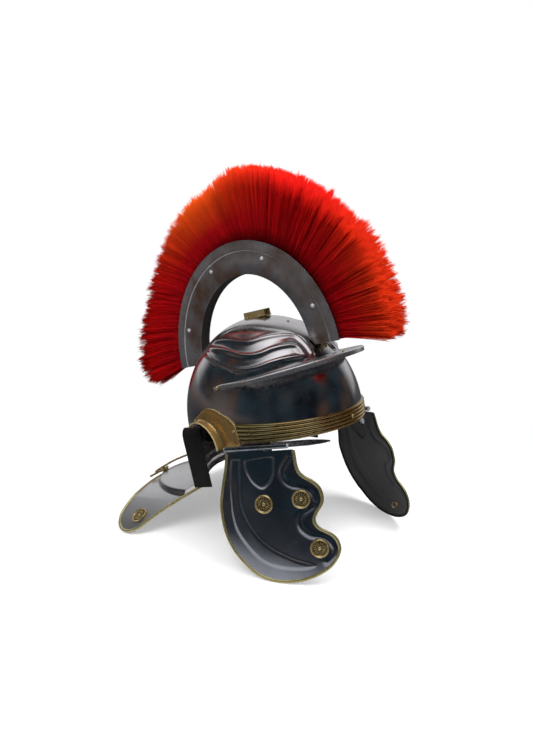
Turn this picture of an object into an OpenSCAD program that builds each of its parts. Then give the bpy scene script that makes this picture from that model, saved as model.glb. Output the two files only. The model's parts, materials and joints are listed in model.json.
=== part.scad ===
// Centurion helmet with a fore-and-aft horsehair crest.
// The shapes are worked out in the helmet's own frame: +X is the wearer's left, -Y is the face,
// +Z is up, and the brow rim lies near z = 0. The whole helmet is then tipped back until it
// stands on the lower edges of its cheek guards and the lobes of its neck guard.

/* [Bowl] */
// Width of the bowl
bowl_w = 207.6; // [195:0.2:220]
// Length of the bowl
bowl_l = 232.6; // [220:0.2:245]
// Height of the crown above the brow rim
crown_h = 144; // [135:1:155]
// Height of the widest level above the brow rim
wide_h = 21; // [15:1:28]
// Distance of the bowl's centre behind the helmet's origin
bowl_back = 7.3; // [5:0.1:10]
// Thickness of the steel sheet
sheet_t = 1.2; // [1:0.1:1.6]
// How far the brow rim dips at the centre of the face
rim_dip = 5; // [3:0.5:7]
// Height of the embossed eyebrows
brow_emboss = 3.6; // [2:0.2:5]
// Height of the ridges on the nape
nape_ridge = 1.8; // [0.5:0.1:2.5]

/* [Neck guard] */
// Half of the neck guard's width
neck_half = 150; // [140:1:160]
// Distance of the straight rear edge behind the origin
neck_rear = 199; // [188:1:208]
// Radius of the rounded lobes
lobe_r = 29; // [22:1:34]
// Level of the plate at the nape
neck_level = -40; // [-46:1:-34]
// Droop of the lobes at their ends
neck_droop = 53; // [44:1:62]
// Height of the raised plateau
plateau_h = 6; // [3:0.5:8]

/* [Brass trim] */
// Radius of the rolled edging
edge_r = 2; // [1.6:0.1:2.6]
// Height of the ribbed brow band
band_h = 20; // [16:1:24]
// Number of ribs on the brow band
band_ribs = 5; // [3:1:6]
// How far the ribs stand out
band_t = 2.6; // [1.8:0.1:3.2]
// Radius of a rosette
rosette_r = 11; // [8:0.5:12]
// Radius of a dome rivet
rivet_r = 2.4; // [1.6:0.1:3]

/* [Brow guard] */
// How far the guard stands out at the centre
guard_out = 28; // [20:1:34]
// How far it stands out at the sides
guard_side = 17; // [13:1:20]
// Level of the guard above the brow rim
guard_level = 73; // [68:0.5:78]
// Depth of its turned-down rim
guard_rim = 6; // [4:0.5:9]

/* [Ear guards] */
// Radius of the hood over the ear
hood_r = 30; // [27:0.5:33]
// How far the hood stands out
hood_out = 13; // [9:1:18]
// Distance of the ear's centre behind the origin
ear_y = 36; // [33:1:39]
// Height of the ear's centre
ear_z = 7; // [4:1:10]

/* [Cheek guards] */
// Length of the hinge
hinge_len = 76; // [70:1:80]
// Outer radius of the hinge's knuckles
knuckle_r = 3; // [2.6:0.1:3.6]
// Radius of the hinge pin
pin_r = 1.4; // [1.1:0.1:1.7]
// Running clearance round the hinge pin
pin_gap = 0.05; // [0.03:0.01:0.08]
// How far the hinges' front ends lie inside the bowl's widest half
hinge_in = 15.8; // [12.8:0.5:18.8]
// Distance of the hinge's front end ahead of the origin
hinge_front = 76; // [72:1:80]
// Level of the hinges' front ends
hinge_z = -5; // [-7:0.5:-4]
// Angle between the hinge line and the helmet's middle plane
toe = 20; // [16:0.5:24]
// Rise of the hinge line towards the back
hinge_rise = 5; // [2:0.5:7]
// Outward splay of the cheek guards
splay = 11.5; // [8:0.5:15]
// Length of the cheek guards
cheek_len = 155; // [148:1:162]

/* [Crest] */
// Half length of the crest plates' outer arch
arch_a = 133.5; // [130:0.5:137]
// Height of the outer arch above its centre
arch_b = 146; // [142:1:150]
// Radial width of the crest plates
arch_w = 42; // [38:1:46]
// Distance between the outer faces of the two crest plates
crest_t = 18; // [15:0.5:22]
// Thickness of a crest plate
plate_t = 1.2; // [0.8:0.1:1.6]
// Width of the outer band beyond the raised step
grip_w = 13; // [10:0.5:16]
// Height of the raised step
step_h = 1; // [0.6:0.1:1.6]
// Forward lean of the crest
crest_lean = 6; // [3:0.5:9]
// Length of the hair at the ends of the arch
hair_end = 90; // [80:1:100]
// Length of the hair at the top of the arch
hair_top = 82; // [74:1:92]
// Spread of the hair tips to each side
hair_spread = 20; // [14:1:26]
// Rows of strands across the crest
hair_rows = 5; // [3:1:6]
// Strands along one bunch
hair_cols = 11; // [8:1:12]

/* [Leather] */
// Width of the chin straps
strap_w = 24; // [20:1:28]
// Thickness of the leather
leather_t = 2.2; // [1.6:0.1:2.8]
// Height of the liner band
liner_h = 26; // [20:1:32]

/* [Handle] */
// Length of the carrying handle
handle_w = 112; // [100:1:124]
// Radius of its wire
wire_r = 1.5; // [1.2:0.1:2]

/* [Hidden] */
$fn = 32;

// Small clearance between pieces of one body that lie against each other
seat_gap = 0.2;
// Clearance between pieces of different bodies
body_gap = 0.3;

// Helpers

function sq(x) = x*x;
function unit(v) = v/norm(v);
function ease(x) = let (c = min(max(x, 0), 1)) c*c*(3 - 2*c);
function mix(a, b, f) = a + (b - a)*f;
function mirror_x(p) = [-p.x, p.y, p.z];
function smooth(p0, p1, p2, p3, f) =
    0.5*(2*p1 + (p2 - p0)*f + (2*p0 - 5*p1 + 4*p2 - p3)*f*f + (3*p1 - p0 - 3*p2 + p3)*f*f*f);
// Points of a smooth curve through the given ones, n steps for each span
function spline(pts, n) = let (m = len(pts)) concat(
    [for (k = [0:m - 2], s = [0:n - 1])
        smooth(pts[max(k - 1, 0)], pts[k], pts[k + 1], pts[min(k + 2, m - 1)], s/n)],
    [pts[m - 1]]);
function ring_mid(r) = [for (c = [0:2]) [for (p = r) p[c]]*[for (p = r) 1/len(r)]];

// A closed skin over rings that all have the same number of points
module loft(rings) {
    m = len(rings);
    n = len(rings[0]);
    points = concat([for (r = rings) each r], [ring_mid(rings[0]), ring_mid(rings[m - 1])]);
    sides = [for (k = [0:m - 2], i = [0:n - 1]) let (a = k*n + i, b = k*n + (i + 1)%n)
        each [[a, a + n, b + n], [a, b + n, b]]];
    caps = [for (i = [0:n - 1]) let (j = (i + 1)%n)
        each [[m*n, i, j], [m*n + 1, (m - 1)*n + j, (m - 1)*n + i]]];
    polyhedron(points, concat(sides, caps), convexity = 6);
}

function sheet_normal(g, j, i) = let (m = len(g) - 1, n = len(g[0]) - 1)
    unit(cross(g[j][min(i + 1, n)] - g[j][max(i - 1, 0)], g[min(j + 1, m)][i] - g[max(j - 1, 0)][i]));

// A sheet of even thickness about a grid of points on its middle surface
module sheet(g, thick) {
    m = len(g);
    n = len(g[0]);
    low = m*n;
    points = [for (side = [0.5, -0.5], j = [0:m - 1], i = [0:n - 1])
        g[j][i] + side*thick*sheet_normal(g, j, i)];
    faces = [for (j = [0:m - 2], i = [0:n - 2]) let (a = j*n + i, b = a + 1, c = a + n, d = c + 1)
        each [[a, c, d], [a, d, b], [low + a, low + d, low + c], [low + a, low + b, low + d]]];
    ends = [for (i = [0:n - 2]) let (a = i, b = i + 1, c = (m - 1)*n + i + 1, d = (m - 1)*n + i)
        each [[a, b, low + b], [a, low + b, low + a], [c, d, low + d], [c, low + d, low + c]]];
    edges = [for (j = [0:m - 2]) let (a = (j + 1)*n, b = j*n, c = b + n - 1, d = a + n - 1)
        each [[a, b, low + b], [a, low + b, low + a], [c, d, low + d], [c, low + d, low + c]]];
    polyhedron(points, concat(faces, ends, edges), convexity = 6);
}

function tube_ring(path, k, r, sides, ref) = let (
    along = unit(path[min(k + 1, len(path) - 1)] - path[max(k - 1, 0)]),
    across = unit(cross(ref, along)), up = cross(along, across))
    [for (i = [0:sides - 1]) path[k] + r*(cos(360*i/sides)*across + sin(360*i/sides)*up)];
// A round bar along a path, with its own radius at each point
module tube(path, radii, sides, ref)
    loft([for (k = [0:len(path) - 1]) tube_ring(path, k, radii[k], sides, ref)]);

// Puts a piece on a point with its own +Z along a direction
module at(p, n) translate(p) rotate([0, acos(n.z/norm(n)), atan2(n.y, n.x)]) children();
// A dome rivet with its shank below the head
module rivet(r, shank) rotate_extrude()
    polygon(concat([[0, -shank], [0.6*r, -shank], [0.6*r, 0]],
                   [for (a = [0:15:75]) r*[cos(a), 0.8*sin(a)]], [[0, 0.8*r]]));

// Skull bowl

bowl_a = bowl_w/2;
bowl_b = bowl_l/2;
dome_h = crown_h - wide_h;
// Heights in the tables below are for a crown of this height
table_crown = 144;
bowl_unit = crown_h/table_crown;
// The section never narrows below this share on the nape
nape_keep = 0.955;
nape_y = bowl_back + nape_keep*bowl_b;
function bowl_share(z) = let (c = sqrt(max(0, 1 - sq((z - wide_h)/dome_h))))
    z < wide_h ? max(c, nape_keep) : c;
function bowl_pt(phi, z) = let (c = bowl_share(z))
    [bowl_a*c*sin(phi), bowl_back - bowl_b*c*cos(phi), z];
function bowl_out(phi, z) = let (c = bowl_share(z), t = (z - wide_h)/dome_h)
    unit([c*sin(phi)/bowl_a, -c*cos(phi)/bowl_b, (z < wide_h && c <= nape_keep ? 0 : t)/dome_h]);
// Outer surface on the wearer's left at a given distance back and height
function bowl_x(y, z) = bowl_a*sqrt(max(0, sq(bowl_share(z)) - sq((y - bowl_back)/bowl_b)));
function azimuth_at(y) = acos((bowl_back - y)/(bowl_b*bowl_share(ear_z)));

function neck_z(x, y) = neck_level - neck_droop*sq(x/neck_half)
    + mix(-0.05, 0.1, min(abs(x)/100, 1))*(y - nape_y);

rim_end = 4;
ear_from = azimuth_at(ear_y - hood_r);
ear_to = azimuth_at(ear_y + hood_r);
nape_from = 138;
function rim_z(phi) = let (p = abs(phi), e = bowl_pt(p, ear_z), n = bowl_pt(p, -40))
    p <= 75 ? -rim_dip + (rim_end + rim_dip)*sq(p/75)
    : p <= ear_from ? mix(rim_end, ear_z, (p - 75)/(ear_from - 75))
    : p <= ear_to ? ear_z + sqrt(max(0, sq(hood_r) - sq(e.y - ear_y)))
    : p <= nape_from ? mix(ear_z, neck_z(bowl_pt(nape_from, -40).x, bowl_pt(nape_from, -40).y),
                           pow((p - ear_to)/(nape_from - ear_to), 0.75))
    : neck_z(n.x, n.y);

// Lower and upper edge of the embossed eyebrow round the bowl
brow_low = [[0, 86], [10, 88], [15, 81], [23, 83], [39, 80], [57, 77], [68, 80], [81, 90],
            [100, 101], [126, 113], [144, 114], [180, 106]];
brow_top = [[0, 112], [8, 106], [12, 108], [17, 115], [26, 117], [42, 118], [57, 118], [83, 122],
            [114, 124], [144, 119], [180, 120]];
brow_steps = 12;
low_steps = [0, 0.05, 0.1, 0.15, 0.2, 0.27, 0.36, 0.52, 0.76];
top_steps = 6;
bowl_rows = len(low_steps) + brow_steps + top_steps;
function row_z(phi, j) = let (p = abs(phi),
    lo = bowl_unit*lookup(p, brow_low), hi = bowl_unit*lookup(p, brow_top),
    k = j - len(low_steps), m = k - brow_steps)
    k < 0 ? mix(rim_z(phi), lo, low_steps[j])
    : m <= 0 ? mix(lo, hi, k/brow_steps)
    : wide_h + dome_h*sin(mix(asin((hi - wide_h)/dome_h), 85, m/top_steps));
function emboss(phi, j) = let (p = abs(phi), u = (j - len(low_steps))/brow_steps)
    u <= 0 || u >= 1 ? 0
    : brow_emboss*ease((p - 8)/7)*(1 - ease((p - 102)/42))*ease(min(u, 1 - u)/0.14)
      *(0.6 - 0.4*cos(1080*u));
ridge_pitch = 10.6;
function ridge(phi, z) = let (h = z - rim_z(phi))
    abs(phi) < 128 || h > 3*ridge_pitch ? 0
    : nape_ridge*ease((abs(phi) - 128)/14)*(0.5 - 0.5*cos(360*h/ridge_pitch));
// Columns follow the brow, the arch over the ear and the nape
half_cols = concat([for (k = [0:13]) k*ear_from/14],
                   [for (k = [0:7]) ear_from + k*(ear_to - ear_from)/8],
                   [for (k = [0:9]) ear_to + k*(180 - ear_to)/9]);
all_cols = concat(half_cols, [for (k = [len(half_cols) - 2:-1:1]) -half_cols[k]]);
function bowl_ring(j, out) = [for (p = all_cols) let (z = row_z(p, j))
    bowl_pt(p, z) + (out ? emboss(p, j) + ridge(p, z) : -sheet_t)*bowl_out(p, z)];
inner_rows = [for (j = [bowl_rows:-1:0]) if (j < 9 ? j%2 == 0 : (j - 9)%3 == 0) j];

module skull_bowl() color([0.62, 0.62, 0.65]) standing()
    loft(concat([for (j = inner_rows) bowl_ring(j, false)],
                [for (j = [0:bowl_rows]) bowl_ring(j, true)]));

// Neck guard

// The rolled edging's outer side gives the plate's full width and length
rear_y = neck_rear - edge_r;
lobe_x = neck_half - edge_r - lobe_r;
lobe_y = rear_y - lobe_r;
nape_corner = [bowl_pt(nape_from, -40).x, bowl_pt(nape_from, -40).y];
front_end = [lobe_x + lobe_r*cos(-52), lobe_y + lobe_r*sin(-52)];
function on_neck(p, up) = [p.x, p.y, neck_z(p.x, p.y) + up];
function nape_xy(phi) = let (c = nape_keep - 0.5*sheet_t/bowl_a)
    [bowl_a*c*sin(phi), bowl_back - bowl_b*c*cos(phi)];
neck_inner = concat([for (k = [0:11]) nape_xy(180 - (180 - nape_from)*k/11)],
                    [for (k = [1:9]) mix(nape_corner, front_end, 0.92*k/9)]);
function lobe_pt(k) = [lobe_x + lobe_r*cos(90 - 14.2*k), lobe_y + lobe_r*sin(90 - 14.2*k)];
neck_outer = concat([for (k = [0:9]) [lobe_x*k/10, rear_y]], [for (k = [0:10]) lobe_pt(k)]);
neck_rows = [0, 0.12, 0.3, 0.5, 0.7, 0.87, 1];
function both(half) = concat([for (k = [len(half) - 1:-1:1]) [-half[k].x, half[k].y]], half);
neck_in = both(neck_inner);
neck_out = both(neck_outer);

// Raised middle part of the plate
plateau_half = 40;
plateau_inner = concat([for (k = [0:8]) nape_xy(180 - (180 - nape_from)*k/8)],
                       [for (k = [1:3]) mix(nape_corner, front_end, 0.11*k)]);
plateau_outer = concat([for (k = [0:4]) [plateau_half*k/4, neck_rear - 8]],
                       [for (k = [1:7]) let (e = mix(nape_corner, front_end, 0.37), a = 90 - 90*k/7)
                           [mix(plateau_half, e.x - 1, cos(a)), mix(e.y + 3, neck_rear - 8, sin(a))]]);
plateau_in = both(plateau_inner);
plateau_out = both(plateau_outer);

module neck_guard() color([0.7, 0.69, 0.73]) standing() {
    sheet([for (f = neck_rows) [for (k = [0:len(neck_in) - 1])
        on_neck(mix(neck_in[k], neck_out[k], f), 0)]], sheet_t);
    sheet([for (f = [0, 0.3, 0.6, 1]) [for (k = [0:len(plateau_in) - 1])
        on_neck(mix(plateau_in[k], plateau_out[k], f), 0.5*plateau_h)]], plateau_h);
}

neck_path = let (half = concat([for (k = [0:10]) [lobe_x*k/10, rear_y]],
        [for (k = [1:10]) lobe_pt(k)],
        [for (k = [5:-1:0]) mix(nape_corner, front_end, 0.08 + 0.92*k/6)]))
    [for (p = both(half)) on_neck(p, 0)];
module neck_edging() color([0.8, 0.62, 0.2]) standing()
    tube(neck_path, [for (p = neck_path) edge_r], 6, [0, 0, 1]);

lobe_seat = [lobe_x + 8, lobe_y - 7];
module neck_rosettes() color([0.8, 0.6, 0.2]) standing() for (s = [-1, 1]) {
    p = [s*lobe_seat.x, lobe_seat.y];
    slope = [neck_z(p.x - 1, p.y) - neck_z(p.x + 1, p.y), neck_z(p.x, p.y - 1) - neck_z(p.x, p.y + 1), 2];
    at(on_neck(p, 0.5*sheet_t), slope) rosette();
}

// Brass rosette: dished base, raised rim, petals and a stud
module rosette() {
    translate([0, 0, -0.6]) cylinder(h = 1.4, r = rosette_r - 1);
    rotate_extrude() polygon([[rosette_r - 2.2, -0.4], [rosette_r, -0.4], [rosette_r - 0.1, 1.2],
                              [rosette_r - 1, 2], [rosette_r - 1.9, 1.4]]);
    linear_extrude(1.6) polygon([for (k = [0:23])
        (k%2 == 0 ? 0.74 : 0.4)*rosette_r*[cos(15*k), sin(15*k)]]);
    translate([0, 0, 1]) sphere(0.2*rosette_r);
}

// Brow band

band_end = 12;
band_side = concat([for (k = [band_end:-1:1]) -half_cols[k]], [for (k = [0:band_end]) half_cols[k]]);
function band_top(phi) = rim_z(phi) + band_h + 4*sq(phi/75);
function band_pt(phi, f, out) = let (z = mix(rim_z(phi), band_top(phi), f))
    bowl_pt(phi, z) + (seat_gap + out)*bowl_out(phi, z);
rib_marks = [for (k = [0:band_ribs - 1]) each [[k/band_ribs, 0.9], [(k + 0.3)/band_ribs, band_t],
                                              [(k + 0.7)/band_ribs, band_t]]];
module brow_band() color([0.75, 0.62, 0.25]) standing()
    loft([for (p = band_side) concat([for (f = [0, 0.5, 1]) band_pt(p, f, 0)],
        [band_pt(p, 1, 0.9)],
        [for (k = [len(rib_marks) - 1:-1:0]) band_pt(p, rib_marks[k][0], rib_marks[k][1])])]);

module brow_band_rivet() color([0.85, 0.7, 0.35]) standing()
    at(band_pt(0, 0.5, band_t - 0.3), bowl_out(0, 6)) rivet(rivet_r, 2);

// Brow guard

guard_end = 91;
guard_z = bowl_unit*guard_level;
guard_cols = concat([for (k = [0:15]) k*75/15], [79, 83, 86.5, 89.5, guard_end]);
guard_sweep = concat([for (k = [len(guard_cols) - 1:-1:1]) -guard_cols[k]], guard_cols);
guard_out_y = bowl_b*bowl_share(guard_z + 2) + guard_out;
guard_mid = 19;
function guard_low(phi) = guard_z - 4.8 + 7.4*cos(phi);
function guard_edge(phi, z) = let (e = [(bowl_a*bowl_share(guard_z) + guard_side)*sin(phi),
    bowl_back - guard_mid - (guard_out_y - guard_mid)*cos(phi), z],
    b = bowl_pt(phi, z) + (sheet_t + 0.4)*bowl_out(phi, z))
    mix(e, b, ease((abs(phi) - 66)/22));
function guard_ring(phi) = let (lo = guard_low(phi), hi = lo + guard_rim*(abs(phi) > 90 ? 0.7 : 1),
    o = guard_edge(phi, hi), n = unit([o.x, o.y - bowl_back, 0]),
    b = bowl_pt(phi, hi) - 0.3*sheet_t*bowl_out(phi, hi))
    [[b.x, b.y, hi - sheet_t], [b.x, b.y, hi], o, [o.x, o.y, lo],
     [o.x, o.y, lo] - sheet_t*n, [o.x, o.y, hi - sheet_t] - sheet_t*n];
module brow_guard() color([0.66, 0.66, 0.7]) standing()
    loft([for (p = guard_sweep) guard_ring(p)]);

module brow_guard_rivets() color([0.8, 0.65, 0.3]) standing() {
    for (s = [-1, 1]) let (z = guard_low(88) + 0.5*guard_rim)
        at(guard_edge(s*88, z), bowl_out(s*88, z)) rivet(rivet_r, 2.4);
    let (z = guard_low(0) + guard_rim)
        at([0, guard_edge(0, z).y + 8, z], [0, 0, 1]) rivet(0.8*rivet_r, 1);
}

// Ear guards

// Radius of the flange at each angle, for a hood of this radius
table_hood = 30;
hood_marks = [[-12, 52], [0, 54.5], [10, 55.3], [20, 57], [32, 54.5], [45, 50], [60, 48], [75, 44.5],
              [87, 39], [100, 35], [130, 33.5], [195, 33.5]];
hood_turn = [for (k = [0:23]) mix(-12, 195, k/23)];
function hood_pt(a, r, dx) = let (y = ear_y - r*cos(a), z = ear_z + r*sin(a))
    [bowl_x(y, z) + seat_gap + 0.5*sheet_t + dx, y, z];
hood_rows = [[1, 3, 0], [0.5, 3, 0], [0, 3, 0], [0, 1, 1], [0, -0.6, 4], [0, -0.6, 11], [0, -0.3, 18]];
module ear_guard() sheet([for (h = hood_rows) [for (a = hood_turn)
    hood_pt(a, mix(hood_r + h[1], lookup(a, hood_marks)*hood_r/table_hood, h[0]), h[2]*hood_out/19)]],
    sheet_t);
module ear_guard_left() color([0.8, 0.58, 0.16]) standing() ear_guard();
module ear_guard_right() color([0.8, 0.58, 0.16]) standing() mirror([1, 0, 0]) ear_guard();

ear_rivet_marks = [[-6, 50], [14, 52], [118, 32.6]];
module ear_rivets() for (m = ear_rivet_marks) let (p = hood_pt(m[0], m[1]*hood_r/table_hood, 0.6))
    at(p, [1, 0.1*(p.y - ear_y)/30, 0.1]) rivet(0.8*rivet_r, 1.6);
module ear_rivets_left() color([0.85, 0.66, 0.25]) standing() ear_rivets();
module ear_rivets_right() color([0.85, 0.66, 0.25]) standing() mirror([1, 0, 0]) ear_rivets();

// Crown pieces

holder_w = 12;
holder_h = 7;
holder_l = 34;
holder_t = 1.2;
module crown_holder() color([0.75, 0.6, 0.25]) standing() translate([0, -1, crown_h]) {
    difference() {
        translate([-holder_w/2, -holder_l/2, -1.6]) cube([holder_w, holder_l, holder_h + 1.6]);
        translate([-holder_w/2 + holder_t, -holder_l/2 - 1, -2.6])
            cube([holder_w - 2*holder_t, holder_l + 2, holder_h + 2.6 - holder_t]);
    }
    for (s = [-1, 1], t = [-1, 1]) translate([s*(holder_w/2 + 1.5), t*10, -2]) {
        cylinder(h = 2, r = 5);
        translate([-s*1.5 - 1.4, -5, 0]) cube([2.8, 10, 2]);
    }
}
module crown_rivets() color([0.85, 0.7, 0.3]) standing() {
    for (s = [-1, 1], t = [-1, 1]) translate([s*(holder_w/2 + 3), -1 + t*10, crown_h]) rivet(1.8, 1);
    for (p = [-47, 62]) let (z = wide_h + dome_h*sqrt(1 - sq((p - bowl_back)/bowl_b)),
                             n = unit([0, (p - bowl_back)/sq(bowl_b), (z - wide_h)/sq(dome_h)]))
        at([0, p, z], n) rivet(1.8, 0.8);
}

// Crest hooks and pegs

foot_z = 96.3*bowl_unit;
hook_top = foot_z - body_gap;
peg_r = 2;
hook_r = 3.8;
hook_h = 6;
// Gaps between a hook's centre and the bowl
hook_ahead = 3;
hook_behind = 4.4;
module crest_hook(y, wall) {
    difference() {
        union() {
            translate([0, y, hook_top - hook_h]) cylinder(h = hook_h, r = hook_r);
            translate([-1.6, min(y, wall), hook_top - hook_h + 1]) cube([3.2, abs(wall - y), hook_h - 2]);
        }
        translate([0, y, hook_top - hook_h - 1]) cylinder(h = hook_h + 2, r = peg_r + body_gap);
    }
}
function bowl_front_y(z) = bowl_back - bowl_b*bowl_share(z);
function bowl_rear_y(z) = bowl_back + bowl_b*bowl_share(z);
hook_front_y = bowl_front_y(hook_top - hook_h) - hook_ahead;
hook_rear_y = bowl_rear_y(hook_top - hook_h) + hook_behind;
module crest_hook_front() color([0.75, 0.6, 0.25]) standing()
    crest_hook(hook_front_y, bowl_front_y(hook_top - hook_h) + 0.4*sheet_t);
module crest_hook_rear() color([0.75, 0.6, 0.25]) standing()
    crest_hook(hook_rear_y, bowl_rear_y(hook_top - hook_h) - 0.4*sheet_t);
module crest_peg(y) translate([0, y, hook_top - hook_h + 0.5])
    cylinder(h = foot_z - hook_top + hook_h + 3.5, r = peg_r);
module crest_peg_front() color([0.3, 0.3, 0.32]) standing() crest_peg(hook_front_y);
module crest_peg_rear() color([0.3, 0.3, 0.32]) standing() crest_peg(hook_rear_y);

// Crest

arch_y = 12;
arch_z = 95*bowl_unit;
// Points of the arch at a distance inside its outer edge
function arch_pt(t, inset) = let (a = (arch_a - inset)*cos(t), b = (arch_b - inset)*sin(t))
    [arch_y + a*cos(crest_lean) - b*sin(crest_lean), arch_z + a*sin(crest_lean) + b*cos(crest_lean)];
function arch_band(from, to, near, far, steps) = concat(
    [for (k = [0:steps]) arch_pt(mix(from, to, k/steps), near)],
    [for (k = [steps:-1:0]) arch_pt(mix(from, to, k/steps), far)]);
bowl_room = 1.2;
// The arch is drawn past its feet and then cut at their level
arch_from = -14;
arch_to = 192;
module arch_shape(near, far, raise) difference() {
    polygon(arch_band(arch_from, arch_to, near, far, 56));
    translate([arch_y - 2*arch_a, foot_z + raise - arch_a]) square([4*arch_a, arch_a]);
    polygon([for (k = [0:71]) [bowl_back + (bowl_b + bowl_room)*cos(5*k),
                               wide_h + (dome_h + bowl_room)*sin(5*k)]]);
}
module along_x(from, to) translate([from, 0, 0]) rotate([90, 0, 90]) linear_extrude(to - from) children();
module crest_plate() {
    along_x(crest_t/2 - plate_t, crest_t/2) arch_shape(0, arch_w, 0);
    along_x(crest_t/2 - 0.5*plate_t, crest_t/2 + step_h) arch_shape(0, grip_w, 0);
}
module crest_plate_left() color([0.3, 0.31, 0.34]) standing() crest_plate();
module crest_plate_right() color([0.3, 0.31, 0.34]) standing() mirror([1, 0, 0]) crest_plate();
core_half = crest_t/2 - plate_t;
module crest_core() color([0.12, 0.11, 0.11]) standing()
    along_x(-core_half, core_half) arch_shape(11, arch_w - 1, 0.5);

screw_turns = [18, 63, 108, 153];
module crest_screws() for (t = screw_turns) let (p = arch_pt(t, 20))
    translate([crest_t/2, p[0], p[1]]) rotate([0, 90, 0]) rivet(2.8, 3);
module crest_screws_left() color([0.75, 0.75, 0.78]) standing() crest_screws();
module crest_screws_right() color([0.75, 0.75, 0.78]) standing() mirror([1, 0, 0]) crest_screws();

// Plume

base_from = -4;
base_to = 173;
tip_from = -9;
tip_to = 175.5;
bunches = 7;
base_half = 5.2;
hair_jitter = rands(-1, 1, 3*bunches*hair_cols*hair_rows, 7);
function tip_t(t) = mix(tip_from, tip_to, (t - base_from)/(base_to - base_from));
function strand_no(b, c, r) = 3*((b*hair_cols + c)*hair_rows + r);
function strand_t(b, c) = mix(base_from, base_to, (b + (c + 0.5)/hair_cols)/bunches);
// Share of the full hair length at each angle round the fan
hair_marks = [[-11, 0.8], [-6.6, 0.9], [1, 0.93], [7.6, 0.905], [16, 0.885], [25, 0.85], [37, 0.865],
              [46, 0.872], [60, 0.911], [69, 0.938], [78, 0.951], [86, 0.98], [92, 1.03], [100, 1.033],
              [110, 1.018], [131, 1], [148, 0.997], [155, 0.976], [169, 0.955], [177.5, 0.908]];
function tip_pt(b, c, r) = let (n = strand_no(b, c, r), t = strand_t(b, c),
    u = tip_t(t) + 0.25*hair_jitter[n + 1], s = hair_rows < 2 ? 0 : 2*r/(hair_rows - 1) - 1,
    g = lookup(u, hair_marks)*(1 + 0.02*(hair_jitter[n] - 1)),
    e = g*[arch_a + hair_end, arch_b + hair_top], y = e[0]*cos(u), z = e[1]*sin(u))
    [s*hair_spread + 0.8*hair_jitter[n + 2], arch_y + y*cos(crest_lean) - z*sin(crest_lean),
     arch_z + y*sin(crest_lean) + z*cos(crest_lean)];
function root_pt(b, c, r) = let (p = arch_pt(strand_t(b, c), 3.5),
    s = hair_rows < 2 ? 0 : 2*r/(hair_rows - 1) - 1) [s*base_half, p[0], p[1]];
module strand(b, c, r) {
    p = root_pt(b, c, r);
    q = tip_pt(b, c, r);
    path = [p, mix(p, q, 0.5), q];
    tube(path, [1.1, 2.1, 0.9], 3, [1, 0, 0]);
}
backing_near = 0.6;
backing_far = 10.4;
module plume(b) {
    along_x(-core_half + seat_gap, core_half - seat_gap)
        polygon(arch_band(mix(base_from, base_to, b/bunches) + (b == 0 ? 0 : 0.05),
                          mix(base_from, base_to, (b + 1)/bunches) - (b == bunches - 1 ? 0 : 0.05),
                          backing_near, backing_far, 6));
    for (c = [0:hair_cols - 1], r = [0:hair_rows - 1]) strand(b, c, r);
}
module plume_1() color([0.75, 0.05, 0.04]) standing() plume(0);
module plume_2() color([0.8, 0.06, 0.04]) standing() plume(1);
module plume_3() color([0.85, 0.08, 0.04]) standing() plume(2);
module plume_4() color([0.85, 0.08, 0.04]) standing() plume(3);
module plume_5() color([0.82, 0.07, 0.04]) standing() plume(4);
module plume_6() color([0.78, 0.06, 0.04]) standing() plume(5);
module plume_7() color([0.74, 0.05, 0.04]) standing() plume(6);

// Cheek guards, worked out for the wearer's left and mirrored for the right.
// A point is given by its distance along the hinge and its distance below it.

// The tables below are for a cheek guard and a hinge of these lengths
table_cheek = 155;
table_hinge = 76;
cheek_unit = cheek_len/table_cheek;
hinge_unit = hinge_len/table_hinge;
hinge_x = bowl_a - hinge_in;
hinge_along = [sin(toe)*cos(hinge_rise), cos(toe)*cos(hinge_rise), sin(hinge_rise)];
function hinge_pt(t) = [hinge_x, -hinge_front, hinge_z] + t*hinge_along;
function cheek_pt(t, w) = let (u = (t/hinge_unit - 37)/60, v = w/cheek_unit/150,
    d = cheek_unit*(6.4*u*u*min(2.5*v, 1) + 10.9*v*v - 3.8*u*v))
    hinge_pt(t) + [w*sin(splay) - d*cos(splay), 0, -w*cos(splay) - d*sin(splay)];
// A point of the tables on the cheek guard
function cheek_at(m) = cheek_pt(m[0]*hinge_unit, m[1]*cheek_unit);
front_line = [[-5.9, 4.4], [-6.5, 10.7], [-6.7, 22.6], [-8.9, 30.8], [-13.8, 36.4], [-21, 41.4],
              [-25.9, 47], [-27.9, 52.2], [-28.2, 59.9], [-27, 66], [-24, 71.3], [-19.4, 77.6],
              [-16.7, 83.5], [-17, 89.3], [-20.9, 95], [-27.4, 99.4], [-32.2, 103.1], [-35.3, 107.7],
              [-36.8, 113.7], [-36.7, 119.7], [-34, 126.3], [-28.6, 133.9], [-22.2, 139.8],
              [-13.2, 145.2], [-2.3, 149.6], [8.4, 152.2], [19.2, 153.2]];
rear_marks = [[74.6, 4.4], [75.3, 9.7], [77.6, 21.2], [81.9, 34.6], [86.5, 48.1], [90.5, 61.3],
              [91.2, 72.5], [90.1, 89.8], [86.2, 105], [79.7, 118.2], [70.8, 129.6], [60.3, 140.4],
              [51.5, 146.3], [40.7, 150.8], [29.9, 152.9]];
rear_line = spline(rear_marks, 2);
front_table = [for (p = front_line) [p[1], p[0]]];
rear_table = [for (p = rear_line) [p[1], p[0]]];
cheek_rows = [4.4, 10, 17, 24, 31, 37, 43, 49, 55, 61, 67, 73, 79, 85, 91, 96, 101, 106, 112, 118, 125,
              132, 138, 144, 149, 152.6];
cheek_cols = 15;
module cheek_sheet() sheet([for (w = cheek_rows) [for (i = [0:cheek_cols])
    cheek_at([mix(lookup(w, front_table), lookup(w, rear_table), i/cheek_cols), w])]], sheet_t);
edge_tw = concat([for (k = [1:len(front_line) - 1]) front_line[k]],
                 [for (k = [len(rear_line) - 1:-1:1]) rear_line[k]]);
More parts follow.
